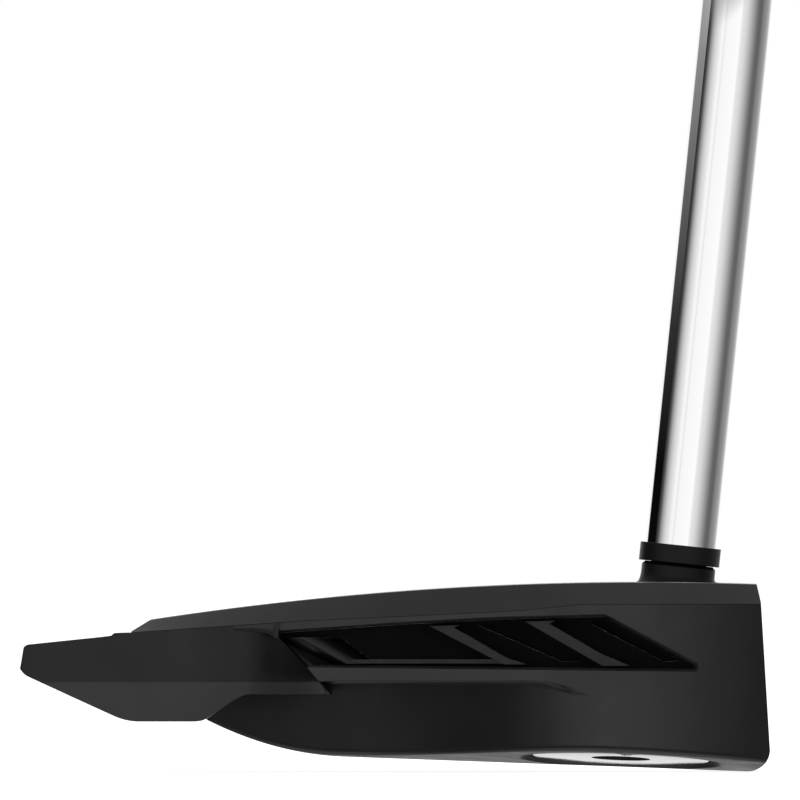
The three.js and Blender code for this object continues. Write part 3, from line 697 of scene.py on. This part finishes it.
def post_bore(radius, sides):
    """The hole for the hosel's post, through the crown and into the body."""
    profile = [(0, -POST_BORE_DEPTH), (radius, -POST_BORE_DEPTH), (radius, 20), (0, 20)]
    return lathe("bore", profile, sides, hosel_frame)


def screw_hole(x, y):
    """A countersunk hole that follows the sole's height, where the sole climbs to the back."""
    low = sole_z(x - 3) + 0.35
    profile = [
        (0, -10),
        (SCREW_HEAD_HOLE, -10),
        (SCREW_HEAD_HOLE, low),
        (SCREW_SHANK_HOLE, low + 1.8),
        (SCREW_SHANK_HOLE, SCREW_TOP),
        (0, SCREW_TOP),
    ]
    return lathe("screw_hole", profile, 32, Matrix.Translation((x, y, 0)))


def make_body():
    back = spread(KEEL_END_X, KEEL_BREAK_X, 14) + spread(-34.6, -15, 14)
    stations = back + spread(-14, 2, 28) + spread(3, 19.2, 16) + [21.3]
    body = loft("head_shell", stations, lambda x: mirrored(body_half(x)))
    combine(body, "INTERSECT", side_prism("trim", front_trim(-10, 30), -ASIDE, ASIDE))
    combine(body, "DIFFERENCE", side_prism("tail", TAIL_CUT, -ASIDE, ASIDE))
    for side in (-1, 1):
        combine(body, "DIFFERENCE", window_slab("window", WINDOW, -TRUSS_THICK - GAP, 30, side))
        combine(body, "DIFFERENCE", lathe("pocket", WEIGHT_POCKET, 96, weight_frame(side)))
    combine(body, "DIFFERENCE", post_bore(5.55, 48))
    half_length = INSERT_HALF + INSERT_FIT
    height = INSERT_HEIGHT + 2 * INSERT_FIT
    combine(body, "DIFFERENCE", stadium("insert_pocket", half_length, height, INSERT_POCKET_BACK, 6))
    for x, y in SCREW_PLACES:
        combine(body, "DIFFERENCE", screw_hole(x, y))
    return finish_edges(body, 0.22, shade=20)


stands_for(make_body(), "head_body", "head", "satin_black", satin_black)


# ---- Crown -------------------------------------------------------------------------------------

def crown_half(x):
    """Half of the crown's cross-section: the slope at its border, bulged a little, then the top."""
    outer = half_width(x)
    inner = outer - CROWN_BEVEL
    foot = seam_z(x)
    border_z = crown_surface(x, inner)
    slope = [(outer - 0.05, foot), (outer, foot + 0.06)]
    for in_share, up_share in ((0.33, 0.35), (0.67, 0.69)):
        slope.append((mix(outer, inner, in_share), mix(foot, border_z, up_share)))
    top = [(inner * share, crown_surface(x, inner * share)) for share in (1, 0.8, 0.55, 0.3)]
    return slope + top + [(1.5, crown_z(x))]


CROWN_SIDE = [
    (CROWN_END_X, 10),
    (face_x(10), 10),
    (face_x(22.0), 22.0),
    (FACE_TOP_X, crown_z(FACE_TOP_X) + 0.05),
    (FACE_TOP_X - 1.5, ABOVE),
    (CROWN_TAIL_X, ABOVE),
    (CROWN_TAIL_X, crown_z(CROWN_TAIL_X) - 0.1),
    (CROWN_END_X, 18.1),
]
LINES = [(0.0, 0.8, -58, -2), (-21.4, 0.5, -50, -18), (21.4, 0.5, -50, -18)]  # y, half, back, front
LINE_FIT = 0.08
LINE_DEPTH = 0.8


def line_groove(y, half, back, front):
    """The groove for a sight line, just larger than the line and open above the crown."""
    low_y = y - half - LINE_FIT
    high_y = y + half + LINE_FIT

    def section(x):
        floor_z = crown_surface(x, y) - LINE_DEPTH
        top_z = crown_surface(x, y) + 5
        return [(low_y, floor_z), (high_y, floor_z), (high_y, top_z), (low_y, top_z)]

    return loft("groove", spread(back - LINE_FIT, front + LINE_FIT, 12), section)


def make_crown():
    stations = spread(CROWN_END_X, -4, 40) + spread(-2.5, 19, 16) + [21.3]
    crown = loft("crown_shell", stations, lambda x: mirrored(crown_half(x)))
    combine(crown, "INTERSECT", side_prism("trim", CROWN_SIDE, -ASIDE, ASIDE))
    combine(crown, "DIFFERENCE", post_bore(5.5, 64))
    for line in LINES:
        combine(crown, "DIFFERENCE", line_groove(*line))
    return finish_edges(crown, 0.2, angle=14, shade=35)


stands_for(make_crown(), "crown_plate", "head", "satin_black", satin_black)


# ---- Rear frame --------------------------------------------------------------------------------

# The wings and the bridge end a hair apart at the front, so that they don't share a face there.
WING_FRONT_X = -44.45
BRIDGE_FRONT_X = -44.43
WING_SIDE = [
    (WING_END_X, 13.1),
    (-78.3, 12.3),
    (-65.7, 6.5),
    (-64.0, WING_FLOOR),
    (-54.7, WING_FLOOR),
    (-51.2, 8.45),
    (-49.6, 9.45),
    (-48.3, 9.8),
    (-37.9, 9.8),
    (-40.7, 13.2),
    (-44.7, 17.6),
    (WING_FRONT_X, 17.9),
    (WING_FRONT_X, seam_z(WING_FRONT_X) - SEAM_GAP),
    (-52.3, seam_z(-52.3) - SEAM_GAP),
    (CROWN_END_X, 17.88),
    (-67.7, 17.4),
    (-78.0, 16.33),
    (-78.4, 15.96),
]
KEEL_STEP_X = -54.9
BRIDGE_FLOOR = KEEL_TOP + 0.03
BRIDGE_SIDE = [
    (BRIDGE_END_X, 9.0),
    (-63.0, 7.4),
    (-56.4, 7.4),
    (KEEL_STEP_X, BRIDGE_FLOOR),
    (-37.65, BRIDGE_FLOOR),
    (BRIDGE_FRONT_X, 17.9),
    (BRIDGE_FRONT_X, seam_z(BRIDGE_FRONT_X) - SEAM_GAP / 2),
    (-52.3, seam_z(-52.3) - SEAM_GAP / 2),
    (CROWN_END_X + 0.03, 17.895),
    (-66.6, 17.85),
    (BRIDGE_END_X, 17.5),
]

# The underside of the lip along each wing's top edge, which runs on to the crown's border.
WING_LIP_BACK_X = -50.5
WING_LIP = [
    (WING_LIP_BACK_X, 18.2),
    (-48.0, 18.1),
    (-46.8, 17.95),
    (-45.8, 17.8),
    (-45.1, 17.3),
    (WING_FRONT_X, 17.2),
]
WING_LIP_INNER = 30


def wing_lip_section(x, side):
    """The lip's cross-section, whose outer face leans out like the wing's wall."""
    t = (x - WING_LIP_BACK_X) / (WING_FRONT_X - WING_LIP_BACK_X)
    reach = mix(wing_half(WING_LIP_BACK_X), half_width(WING_FRONT_X), t)
    lean = WING_DRAFT / (WING_SHOULDER_Z - WING_CREASE_Z)
    low = along(WING_LIP, x)
    high = seam_z(x) - SEAM_GAP / 2
    outline = [(WING_LIP_INNER, low)]
    outline += [(reach - lean * (WING_SHOULDER_Z - z), z) for z in (low, high)]
    outline.append((WING_LIP_INNER, high))
    return [(side * y, z) for y, z in outline]


def wing_section(x, side):
    """A wing's cross-section, with its sloped lower wall."""
    outer = wing_half(x)
    outline = [
        (WING_INNER + 2.5, WING_FLOOR - 1),
        (outer - WING_BEVEL - 1, WING_FLOOR - 1),
        (outer - WING_DRAFT, WING_CREASE_Z),
        (outer, WING_SHOULDER_Z),
        (WING_INNER, 20),
        (WING_INNER, 10),
    ]
    return [(side * y, z) for y, z in outline]


KEEL_ROOM = 1.7
KEEL_ROOM_FLOOR = 3.0
KEEL_ROOM_FRONT_X = -30


def keel_relief():
    """The room that the frame leaves around the keel."""
    rings = []
    for side in (-1, 1):
        back_y = side * (lower_half_width(KEEL_END_X) + KEEL_ROOM)
        front_y = side * (lower_half_width(KEEL_BREAK_X) + KEEL_ROOM)
        rings.append([
            (KEEL_STEP_X, back_y, KEEL_ROOM_FLOOR),
            (KEEL_ROOM_FRONT_X, front_y, KEEL_ROOM_FLOOR),
            (KEEL_ROOM_FRONT_X, front_y, BRIDGE_FLOOR),
            (KEEL_STEP_X, back_y, BRIDGE_FLOOR),
        ])
    return skin("relief", rings)


def make_rear_frame():
    rear = side_prism("rear_wings", BRIDGE_SIDE, -WING_INNER - 1, WING_INNER + 1)
    for side in (-1, 1):
        stations = spread(WING_END_X - 0.5, WING_TAIL[0], 12) + [-62] + spread(-58, -35, 46)
        wing = loft("wing", stations, lambda x: wing_section(x, side))
        trim = side_prism("trim", rounded(WING_SIDE, 0.8, 2), -ASIDE, ASIDE)
        combine(wing, "INTERSECT", trim)
        lip_stations = spread(WING_LIP_BACK_X, WING_FRONT_X, 24)
        lip = loft("lip", lip_stations, lambda x: wing_lip_section(x, side))
        combine(rear, "UNION", wing, lip)
    combine(rear, "DIFFERENCE", keel_relief())
    return finish_edges(rear, 0.25, angle=24)


rear_frame = make_rear_frame()
stands_for(rear_frame, "rear_frame", "head", "satin_black", satin_black, deep_black)
# Painted shade: the slanted front edges of the wings are matt black where they look up into the side
# windows.
for face in rear_frame.data.polygons:
    x, _, z = face.center / MM
    shaded_at_window = x > -45.5 and 12.6 < z < 17.9
    face.material_index = int(shaded_at_window and face.normal.x > 0.3 and face.normal.z > 0.15)


# ---- Trusses -----------------------------------------------------------------------------------

RIBS = [
    [(-24.3, 18.8), (-14.5, 13.7), (-11.4, 13.7), (-14.0, 14.5), (-21.1, 18.6), (-20.4, 18.9)],
    [(-11.6, 19.4), (-1.3, 13.5), (2.3, 13.5), (-1.5, 15.1), (-8.4, 19.1), (-7.7, 19.5)],
]
SHELF = [(-34.9, 13.8), (-13.5, 13.8), (-15.2, 14.35), (-34.9, 14.35)]
TRUSS_POCKETS = [
    [(-17.8, 18.9), (-6.6, 14.05), (-4.4, 14.15), (-4.5, 14.75), (-13.0, 19.3)],
    [(-2.8, 19.1), (6.9, 14.05), (8.8, 14.2), (-1.2, 19.5), (-2.6, 19.5)],
]
TRUSS_OUTLINE = [
    (-44.1, 17.3),
    (-40.0, 13.63),
    (10.7, 13.1),
    (10.8, 13.6),
    (-1.2, 20.05),
    (-15.0, 19.7),
    (-28.2, 19.0),
    (-44.1, 17.9),
]
RIDGE_ENDS = [(-40.4, 4.6, 17.3), (-34.4, 3.3, 13.75)]  # x, half-width, z
RIDGE_HEIGHT = 2.7
RIDGE_SINK = 0.5


def soft_ridge(side):
    """The rear rib, a broad rounded ridge that slants down to the shelf."""
    rings = []
    for x, half, z in RIDGE_ENDS:
        ring = []
        for u in spread(-1, 1, 16):
            depth = RIDGE_HEIGHT * (1 - abs(u) ** 3.2) - RIDGE_SINK
            ring.append((x + half * u, side * (window_back(x) + depth), z))
        ring += [(x + t, side * (window_back(x) - 1.5), z) for t in (half, -half)]
        rings.append(ring)
    return skin("ridge", rings)


def make_truss(label, side):
    truss = window_slab(label + "_truss_plate", TRUSS_OUTLINE, -TRUSS_THICK, 0, side)
    rooted = -TRUSS_THICK + 0.5
    for pocket in TRUSS_POCKETS:
        combine(truss, "DIFFERENCE", window_slab("pocket", pocket, -TRUSS_THICK + 1, 5, side))
    for rib in RIBS:
        combine(truss, "UNION", window_slab("rib", rib, rooted, TRUSS_RIB, side))
    combine(truss, "UNION", window_slab("shelf", SHELF, rooted, TRUSS_RIB - 2, side))
    combine(truss, "UNION", soft_ridge(side))
    return finish_edges(truss, 0.2)


RIDGE_FRONT_X = -30


def paint_window_shade_and_highlight(truss):
    """Painted shade and highlight: the floors are matt and darker than the ribs, as painted shade,
    and the thin upward-facing bevels round the pockets are lighter, as painted highlight.
    """
    for face in truss.data.polygons:
        x, y, _ = face.center / MM
        depth = abs(y) - window_back(x)
        lit_rim = -0.3 < depth < 0.1 and 0.3 < abs(face.normal.y) < 0.95
        # Painted shade: faces near the window floor turn dark, up to a higher level behind the
        # ridge's front.
        shade_below = 1.5 if x < RIDGE_FRONT_X else 0.9
        # Rim bevels that face upwards get the painted highlight.
        if lit_rim and face.normal.z > 0.1:
            face.material_index = 2
        else:
            face.material_index = int(depth < shade_below)


# Each truss: black plate, painted shade on the window floors, painted highlight on the pocket bevels.
for label, side in (("toe", -1), ("heel", 1)):
    truss = make_truss(label, side)
    stands_for(truss, label + "_truss", "head", "truss_black", truss_black, deep_black, edge_highlight)
    paint_window_shade_and_highlight(truss)


# ---- Hosel, ferrule and shaft ------------------------------------------------------------------

# Radius and height up the post, and how far the ring of points follows the crown's surface.
POST_PROFILE = [
    (0.02, -11.0, 0),
    (5.2, -11.0, 0),
    (5.3, -10.0, 0),
    (5.3, -1.4, 0),
    (5.42, -0.1, 1),
    (5.42, 0.05, 1),
    (5.2, 0.14, 0.85),
    (5.08, 0.36, 0.5),
    (5.0, 0.7, 0.2),
    (4.97, 1.05, 0),
    (4.97, 2.05, 0),
    (4.55, 2.47, 0),
    (3.75, 2.47, 0),
    (3.75, 31.0, 0),
    (2.75, 32.0, 0),
    (0.02, 32.0, 0),
]
ROUND_SIDES = 96


def post_ring(radius, height, follow):
    axis = hosel_frame.to_3x3() @ Vector((0, 0, 1))
    ring = []
    for turn in full_turn(ROUND_SIDES):
        point = hosel_frame @ Vector((radius * math.cos(turn), radius * math.sin(turn), height))
        wanted = crown_surface(point.x, point.y) + height
        ring.append(point + axis * (follow * (wanted - point.z) / axis.z))
    return ring


post = skin("hosel_neck", [post_ring(*row) for row in POST_PROFILE])
stands_for(finish_edges(post, 0, shade=28), "hosel_post", "head", "hosel_black", ring_black)

RING_RADIUS = 5.44
RING_TOP = 4.97
RING_PROFILE = [
    (3.9, 2.5),
    (RING_RADIUS - 0.08, 2.5),
    (RING_RADIUS, 2.58),
    (RING_RADIUS, RING_TOP - 0.07),
    (RING_RADIUS - 0.08, RING_TOP),
    (TIP_RADIUS + 0.03, RING_TOP),
    (TIP_RADIUS + 0.03, 2.6),
    (3.9, 2.6),
]
ring = lathe("ferrule_ring", RING_PROFILE, ROUND_SIDES, hosel_frame)
stands_for(finish_edges(ring, 0, shade=28), "ferrule", "head", "ferrule", ring_black)


def bend_points(corner, before, after, steps):
    """Points on the round bend that takes the place of a corner."""
    turn = before.angle(after)
    setback = BEND_RADIUS * math.tan(turn / 2)
    start = corner - before * setback
    axis = before.cross(after).normalized()
    centre = start + axis.cross(before) * BEND_RADIUS
    return [centre + Quaternion(axis, angle) @ (start - centre) for angle in spread(0, turn, steps)]


lower = hosel_frame.to_3x3() @ Vector((0, 0, 1))
middle = Vector((math.sin(SHAFT_LEAN / 2), math.sin(MIDDLE_LEAN), math.cos(MIDDLE_LEAN))).normalized()
upper = Vector((0, math.sin(LIE_LEAN), math.cos(LIE_LEAN)))
shaft_foot = hosel_frame @ Vector((0, 0, SHAFT_FOOT))
corner_1 = shaft_foot + lower * LOWER_LEG
corner_2 = corner_1 + middle * MIDDLE_LEG
upper_leg = OVERALL_LENGTH - corner_2.z / math.cos(LIE_LEAN) - GRIP_CAP
shaft_top = corner_2 + upper * upper_leg
grip_start = shaft_top + upper * (GRIP_CAP - GRIP_LENGTH)
step_start = corner_2 + upper * 120
STEP_LENGTH = 1.2


def shaft_stations():
    """Centres and radii up the shaft: two bends, and then the steps that widen it to the butt."""
    stations = [(shaft_foot, TIP_RADIUS)]
    stations += [(p, TIP_RADIUS) for p in bend_points(corner_1, lower, middle, 16)]
    stations += [(p, TIP_RADIUS) for p in bend_points(corner_2, middle, upper, 8)]
    span = (grip_start - step_start).length
    growth = (BUTT_RADIUS - TIP_RADIUS) / SHAFT_STEPS
    for i in range(SHAFT_STEPS):
        foot = step_start + upper * (span * i / SHAFT_STEPS)
        radius = TIP_RADIUS + growth * i
        for t in (0, 0.25, 0.75, 1):
            stations.append((foot + upper * (STEP_LENGTH * t), radius + growth * smooth(t)))
    stations.append((shaft_top, BUTT_RADIUS))
    return stations


def bar_rings(stations, offset):
    """Rings round a bent bar, each square to it, with offset added to every radius."""
    rings = []
    for i, (point, radius) in enumerate(stations):
        before = stations[max(0, i - 1)][0]
        after = stations[min(len(stations) - 1, i + 1)][0]
        tangent = (after - before).normalized()
        across = Vector((0, 1, 0)).cross(tangent).normalized()
        up = tangent.cross(across)
        reach = radius + offset
        spokes = [across * math.cos(t) + up * math.sin(t) for t in full_turn(ROUND_SIDES)]
        rings.append([point + spoke * reach for spoke in spokes])
    return rings


def make_shaft():
    stations = shaft_stations()
    outside = bar_rings(stations, 0)
    inside = bar_rings(stations, -SHAFT_WALL)
    shaft = skin("shaft_tube", outside + inside[::-1], cyclic=True)
    return finish_edges(shaft, 0, shade=30)


stands_for(make_shaft(), "shaft", "head", "shaft_chrome", chrome)


# ---- Grip --------------------------------------------------------------------------------------

grip_frame = Matrix.Translation(grip_start) @ Matrix.Rotation(-LIE_LEAN, 4, "X")
grip_high = GRIP_LENGTH - GRIP_CAP
GRIP_SIDES = 72
GRIP_BORE = 8.5
GRIP_VENT = 1.2  # the small hole through the end cap


def grip_section(t):
    """The grip's outline at a share of its length: a round that swells, cut flat in front."""
    belly = math.sin(math.pi * min(1.0, max(0.0, (t - 0.35) / 0.65)))
    wide = mix(11.2, 14.2, smooth(t * 1.4)) + 0.8 * belly
    deep = mix(11.0, 15.5, smooth(t * 1.3)) + 1.6 * belly
    flat = mix(10.2, 11.2, t)
    turns = full_turn(GRIP_SIDES)
    return [(min(deep * math.cos(turn), flat), wide * math.sin(turn)) for turn in turns]


def grip_rings(low, high, steps, lip_low=0.0, lip_high=0.0):
    """The grip's skin between two heights, drawn in a little at each end."""
    rings = []
    for z in spread(low, high, steps):
        shrink = 1.0
        for end, lip in ((low, lip_low), (high, lip_high)):
            if lip and abs(z - end) < lip:
                shrink = min(shrink, 1 - 0.09 * (1 - abs(z - end) / lip) ** 2)
        section = [(x * shrink, y * shrink) for x, y in grip_section(z / GRIP_LENGTH)]
        rings.append([grip_frame @ Vector((x, y, z)) for x, y in section])
    return rings


def bore_rings(low, high, radius):
    """The wall of a round bore, from its high end down to its low end."""
    rings = []
    for z in (high, low):
        circle = [(radius * math.cos(t), radius * math.sin(t)) for t in full_turn(GRIP_SIDES)]
        rings.append([grip_frame @ Vector((x, y, z)) for x, y in circle])
    return rings


sleeve_rings = grip_rings(0, grip_high, 130, lip_low=3.0) + bore_rings(0, grip_high, GRIP_BORE)
sleeve = finish_edges(skin("grip_sleeve", sleeve_rings, cyclic=True), 0, shade=45)
stands_for(sleeve, "grip", "head", "grip_rubber", grip_rubber)

cap_low = grip_high + GAP
cap_rings = grip_rings(cap_low, GRIP_LENGTH, 8, lip_high=2.2)
cap_rings += bore_rings(cap_low, GRIP_LENGTH, GRIP_VENT)
cap = finish_edges(skin("grip_end", cap_rings, cyclic=True), 0, shade=45)
stands_for(cap, "grip_cap", "head", "grip_rubber", grip_rubber)


# ---- Sole weights ------------------------------------------------------------------------------

# Each weight's outlines give radius and depth into the head. Its disc is set back from the sole.
WEIGHT_SETBACK = 0.35
WEIGHT_BACK = 4.05
STEM_RADIUS = 5.0
STEM_END = 9.8
WEIGHT_PROFILE = [
    (0, WEIGHT_SETBACK),
    (WEIGHT_RADIUS - 0.4, WEIGHT_SETBACK),
    (WEIGHT_RADIUS - 0.12, WEIGHT_SETBACK + 0.12),
    (WEIGHT_RADIUS, WEIGHT_SETBACK + 0.4),
    (WEIGHT_RADIUS, WEIGHT_BACK),
    (STEM_RADIUS, WEIGHT_BACK),
    (STEM_RADIUS, STEM_END - 0.7),
    (STEM_RADIUS - 0.7, STEM_END),
    (0, STEM_END),
]
SOCKET_RADIUS = 3.5
SOCKET_DEPTH = 3.4
SOCKET = [(0, -2), (SOCKET_RADIUS, -2), (SOCKET_RADIUS, SOCKET_DEPTH), (0, SOCKET_DEPTH)]
LEAD_IN = [(0, -1), (5.0, -1), (4.0, 0.3), (SOCKET_RADIUS, 0.75), (0, 0.75)]
DOT = [(0, -1), (1.7, -1), (1.7, 1.2), (0, 1.2)]
DOT_X = 0.8
DOT_Y = 9.0


def make_weight(label, side):
    """A round disc on a stem, with a six-sided socket and an index dot near its outer rim."""
    place = weight_frame(side)
    dot_place = place @ Matrix.Translation((DOT_X, side * DOT_Y, 0))
    weight = lathe(label + "_weight_disc", WEIGHT_PROFILE, 128, place)
    combine(weight, "DIFFERENCE", lathe("socket", SOCKET, 6, place))
    combine(weight, "DIFFERENCE", lathe("lead_in", LEAD_IN, 48, place))
    combine(weight, "DIFFERENCE", lathe("dot", DOT, 32, dot_place))
    return finish_edges(weight, 0.1, shade=35)


def darken_hollows(weight, place):
    """The socket and the dot are matt black inside."""
    for face in weight.data.polygons:
        spot = place.inverted() @ (face.center / MM)
        inside = 0.4 < spot.z < SOCKET_DEPTH + 0.4 and spot.xy.length < WEIGHT_RADIUS - 1
        face.material_index = int(inside)


for label, side in (("toe", -1), ("heel", 1)):
    place = weight_frame(side)
    centre = place.translation * MM
    axis = place.to_3x3() @ Vector((0, 0, 1))
    finish = turned_metal(label + "_turned_chrome", centre, axis, (0.88, 0.88, 0.89), 0.08)
    weight = make_weight(label, side)
    body = label + "_weight_body"
    stands_for(weight, label + "_weight", body, "weight_chrome", finish, deep_black)
    darken_hollows(weight, place)


# ---- CAD pieces that stay ----------------------------------------------------------------------

# Each one's material, and the width of the bevel on its edges.
KEPT = {
    "face_insert": (satin_black, 0.12),
    "insert_pad": (plain_rubber, 0.0),
    "grip_tape": (tape_paper, 0.0),
    "sight_line": (line_white, 0.08),
    "toe_side_line": (line_white, 0.08),
    "heel_side_line": (line_white, 0.08),
}
for label in ("toe", "heel"):
    KEPT[label + "_weight_washer"] = (plain_rubber, 0.1)
    KEPT[label + "_weight_bush"] = (plain_steel, 0.1)
    for position in ("rear", "front"):
        KEPT[label + "_" + position + "_screw"] = (black_steel, 0.1)


def soften(node, width):
    """Merges a CAD piece's flat facets and rounds its edges."""
    flat = node.modifiers.new("flat", "DECIMATE")
    flat.decimate_type = "DISSOLVE"
    flat.angle_limit = math.radians(0.5)
    bevel = node.modifiers.new("bevel", "BEVEL")
    bevel.width = width * MM
    bevel.segments = 2
    bevel.limit_method = "ANGLE"
    bevel.angle_limit = math.radians(30)
    bevel.harden_normals = True


for name, (finish, width) in KEPT.items():
    dress(nodes[name], finish)
    if width:
        soften(nodes[name], width)


# ---- Floor, light and camera -------------------------------------------------------------------

# From here on, places are in metres.
FLOOR_Z = cad_low.z - 0.0001
FLOOR_HALF = 60.0


def flat_sheet(name, corners):
    """One four-cornered face as an object."""
    mesh = bpy.data.meshes.new(name)
    mesh.from_pydata(corners, [], [(0, 1, 2, 3)])
    sheet = bpy.data.objects.new(name, mesh)
    scene.collection.objects.link(sheet)
    return sheet


quarters = [(-1, -1), (1, -1), (1, 1), (-1, 1)]
floor = flat_sheet("studio_floor", [(x * FLOOR_HALF, y * FLOOR_HALF, FLOOR_Z) for x, y in quarters])
floor_paint, _, floor_shader = material("floor_white", (0.88, 0.88, 0.88), 0.9)
floor_shader.inputs["Emission Color"].default_value = (1, 1, 1, 1)
floor_shader.inputs["Emission Strength"].default_value = 0.9
dress(floor, floor_paint)
floor.visible_glossy = False


def area_light(name, place, target, size, power):
    lamp = bpy.data.lights.new(name, "AREA")
    lamp.shape = "RECTANGLE"
    lamp.size, lamp.size_y = size
    lamp.energy = power
    obj = bpy.data.objects.new(name, lamp)
    obj.location = place
    obj.rotation_euler = (Vector(target) - Vector(place)).to_track_quat("-Z", "Y").to_euler()
    scene.collection.objects.link(obj)
    return obj


overhead = area_light("overhead", (0.0, 0.2, 1.8), (0.0, 0.0, 0.0), (1.6, 1.6), 14)
overhead.visible_glossy = False


def reflector(name, x, near_y, far_y, low, high, stops):
    """A card square to X that shows only in reflections, with a glow that changes with height."""
    corners = [(x, near_y, low), (x, far_y, low), (x, far_y, high), (x, near_y, high)]
    card = flat_sheet(name, corners)
    paint = bpy.data.materials.new(name)
    paint.use_nodes = True
    tree = paint.node_tree
    tree.nodes.clear()
    glow = tree.nodes.new("ShaderNodeEmission")
    split = tree.nodes.new("ShaderNodeSeparateXYZ")
    tree.links.new(object_point(tree), split.inputs[0])
    tree.links.new(level_ramp(tree, split.outputs["Z"], stops), glow.inputs["Color"])
    output = tree.nodes.new("ShaderNodeOutputMaterial")
    tree.links.new(glow.outputs[0], output.inputs["Surface"])
    dress(card, paint)
    card.visible_camera = False
    card.visible_diffuse = False
    card.visible_shadow = False
    card.visible_transmission = False


# A dark card behind the putter's left in the picture, lighter upwards (heights in metres).
LEFT_GLOW = [(0.0, 0.002), (0.073, 0.003), (0.094, 0.03), (0.115, 0.13), (0.137, 0.3), (0.2, 0.5)]
reflector("left_flag", -0.3, 0.032, 0.36, -0.3, 0.7, LEFT_GLOW)

# The room's brightness round the horizon, by degrees from the camera's side (-Y) towards +X.
ROOM = [
    (-180, 1.0),
    (-144, 1.0),
    (-136, 0.02),
    (-94, 0.004),
    (-82, 0.08),
    (-68, 0.44),
    (-57, 0.69),
    (-47, 0.82),
    (-37, 1.0),
    (-29, 0.97),
    (-27.5, 0.7),
    (-26, 0.97),
    (-18, 1.0),
    (20, 1.05),
    (26, 0.84),
    (37, 0.76),
    (47, 0.61),
    (57, 0.45),
    (68, 0.285),
    (80, 0.148),
    (92, 0.122),
    (106, 0.236),
    (123, 0.32),
    (142, 0.55),
    (152, 1.0),
    (180, 1.0),
]
# The same by height in degrees, and how far the height's value takes over from the ring.
HEIGHTS = [
    (-90, 0.85, 1),
    (-62, 0.7, 1),
    (-45, 0.25, 1),
    (-24, 0.1, 1),
    (-13, 0.2, 1),
    (-6.5, 0.3, 0),
    (0, 0.3, 0),
    (10, 0.3, 0),
    (22, 0.26, 1),
    (62, 0.26, 1),
    (78, 0.7, 1),
    (90, 0.9, 1),
]


def make_room():
    """A grey studio seen in reflections; the camera itself sees plain white."""
    world = bpy.data.worlds.new("room")
    world.use_nodes = True
    tree = world.node_tree
    split = tree.nodes.new("ShaderNodeSeparateXYZ")
    tree.links.new(tree.nodes.new("ShaderNodeTexCoord").outputs["Generated"], split.inputs[0])
    x, y, z = split.outputs
    turn = math_node(tree, "ARCTAN2", x, math_node(tree, "MULTIPLY", y, -1.0))
    height = math_node(tree, "ARCSINE", z)
    degree = math.radians(1)
    ring = level_ramp(tree, turn, ROOM, degree)
    levels = level_ramp(tree, height, [(angle, level) for angle, level, _ in HEIGHTS], degree)
    shares = level_ramp(tree, height, [(angle, share) for angle, _, share in HEIGHTS], degree)
    room = mix_colors(tree, shares, ring, levels)
    seen = tree.nodes.new("ShaderNodeLightPath").outputs["Is Camera Ray"]
    backdrop = mix_colors(tree, seen, room, (1, 1, 1))
    tree.links.new(backdrop, tree.nodes["Background"].inputs["Color"])
    scene.world = world


make_room()
scene.view_settings.view_transform = "Standard"

# The photograph's view: square to the toe, from five metres off with a long lens. The camera is
# level with the crown and in line with the hosel, and is aimed at the middle of the frame.
CAMERA_PLACE = Vector((0.012, -5.0, 0.0247))
VIEW_CENTRE = Vector((-0.02827, -0.042, 0.0489))
VIEW_WIDTH = 0.1065
camera_data = bpy.data.cameras.new("camera")
camera_data.sensor_width = 36
camera_data.lens = camera_data.sensor_width * (VIEW_CENTRE - CAMERA_PLACE).length / VIEW_WIDTH
camera_data.clip_start = 0.1
camera_data.clip_end = 200
camera = bpy.data.objects.new("camera", camera_data)
camera.location = CAMERA_PLACE
camera.rotation_euler = (VIEW_CENTRE - CAMERA_PLACE).to_track_quat("-Z", "Y").to_euler()
scene.collection.objects.link(camera)
scene.camera = camera
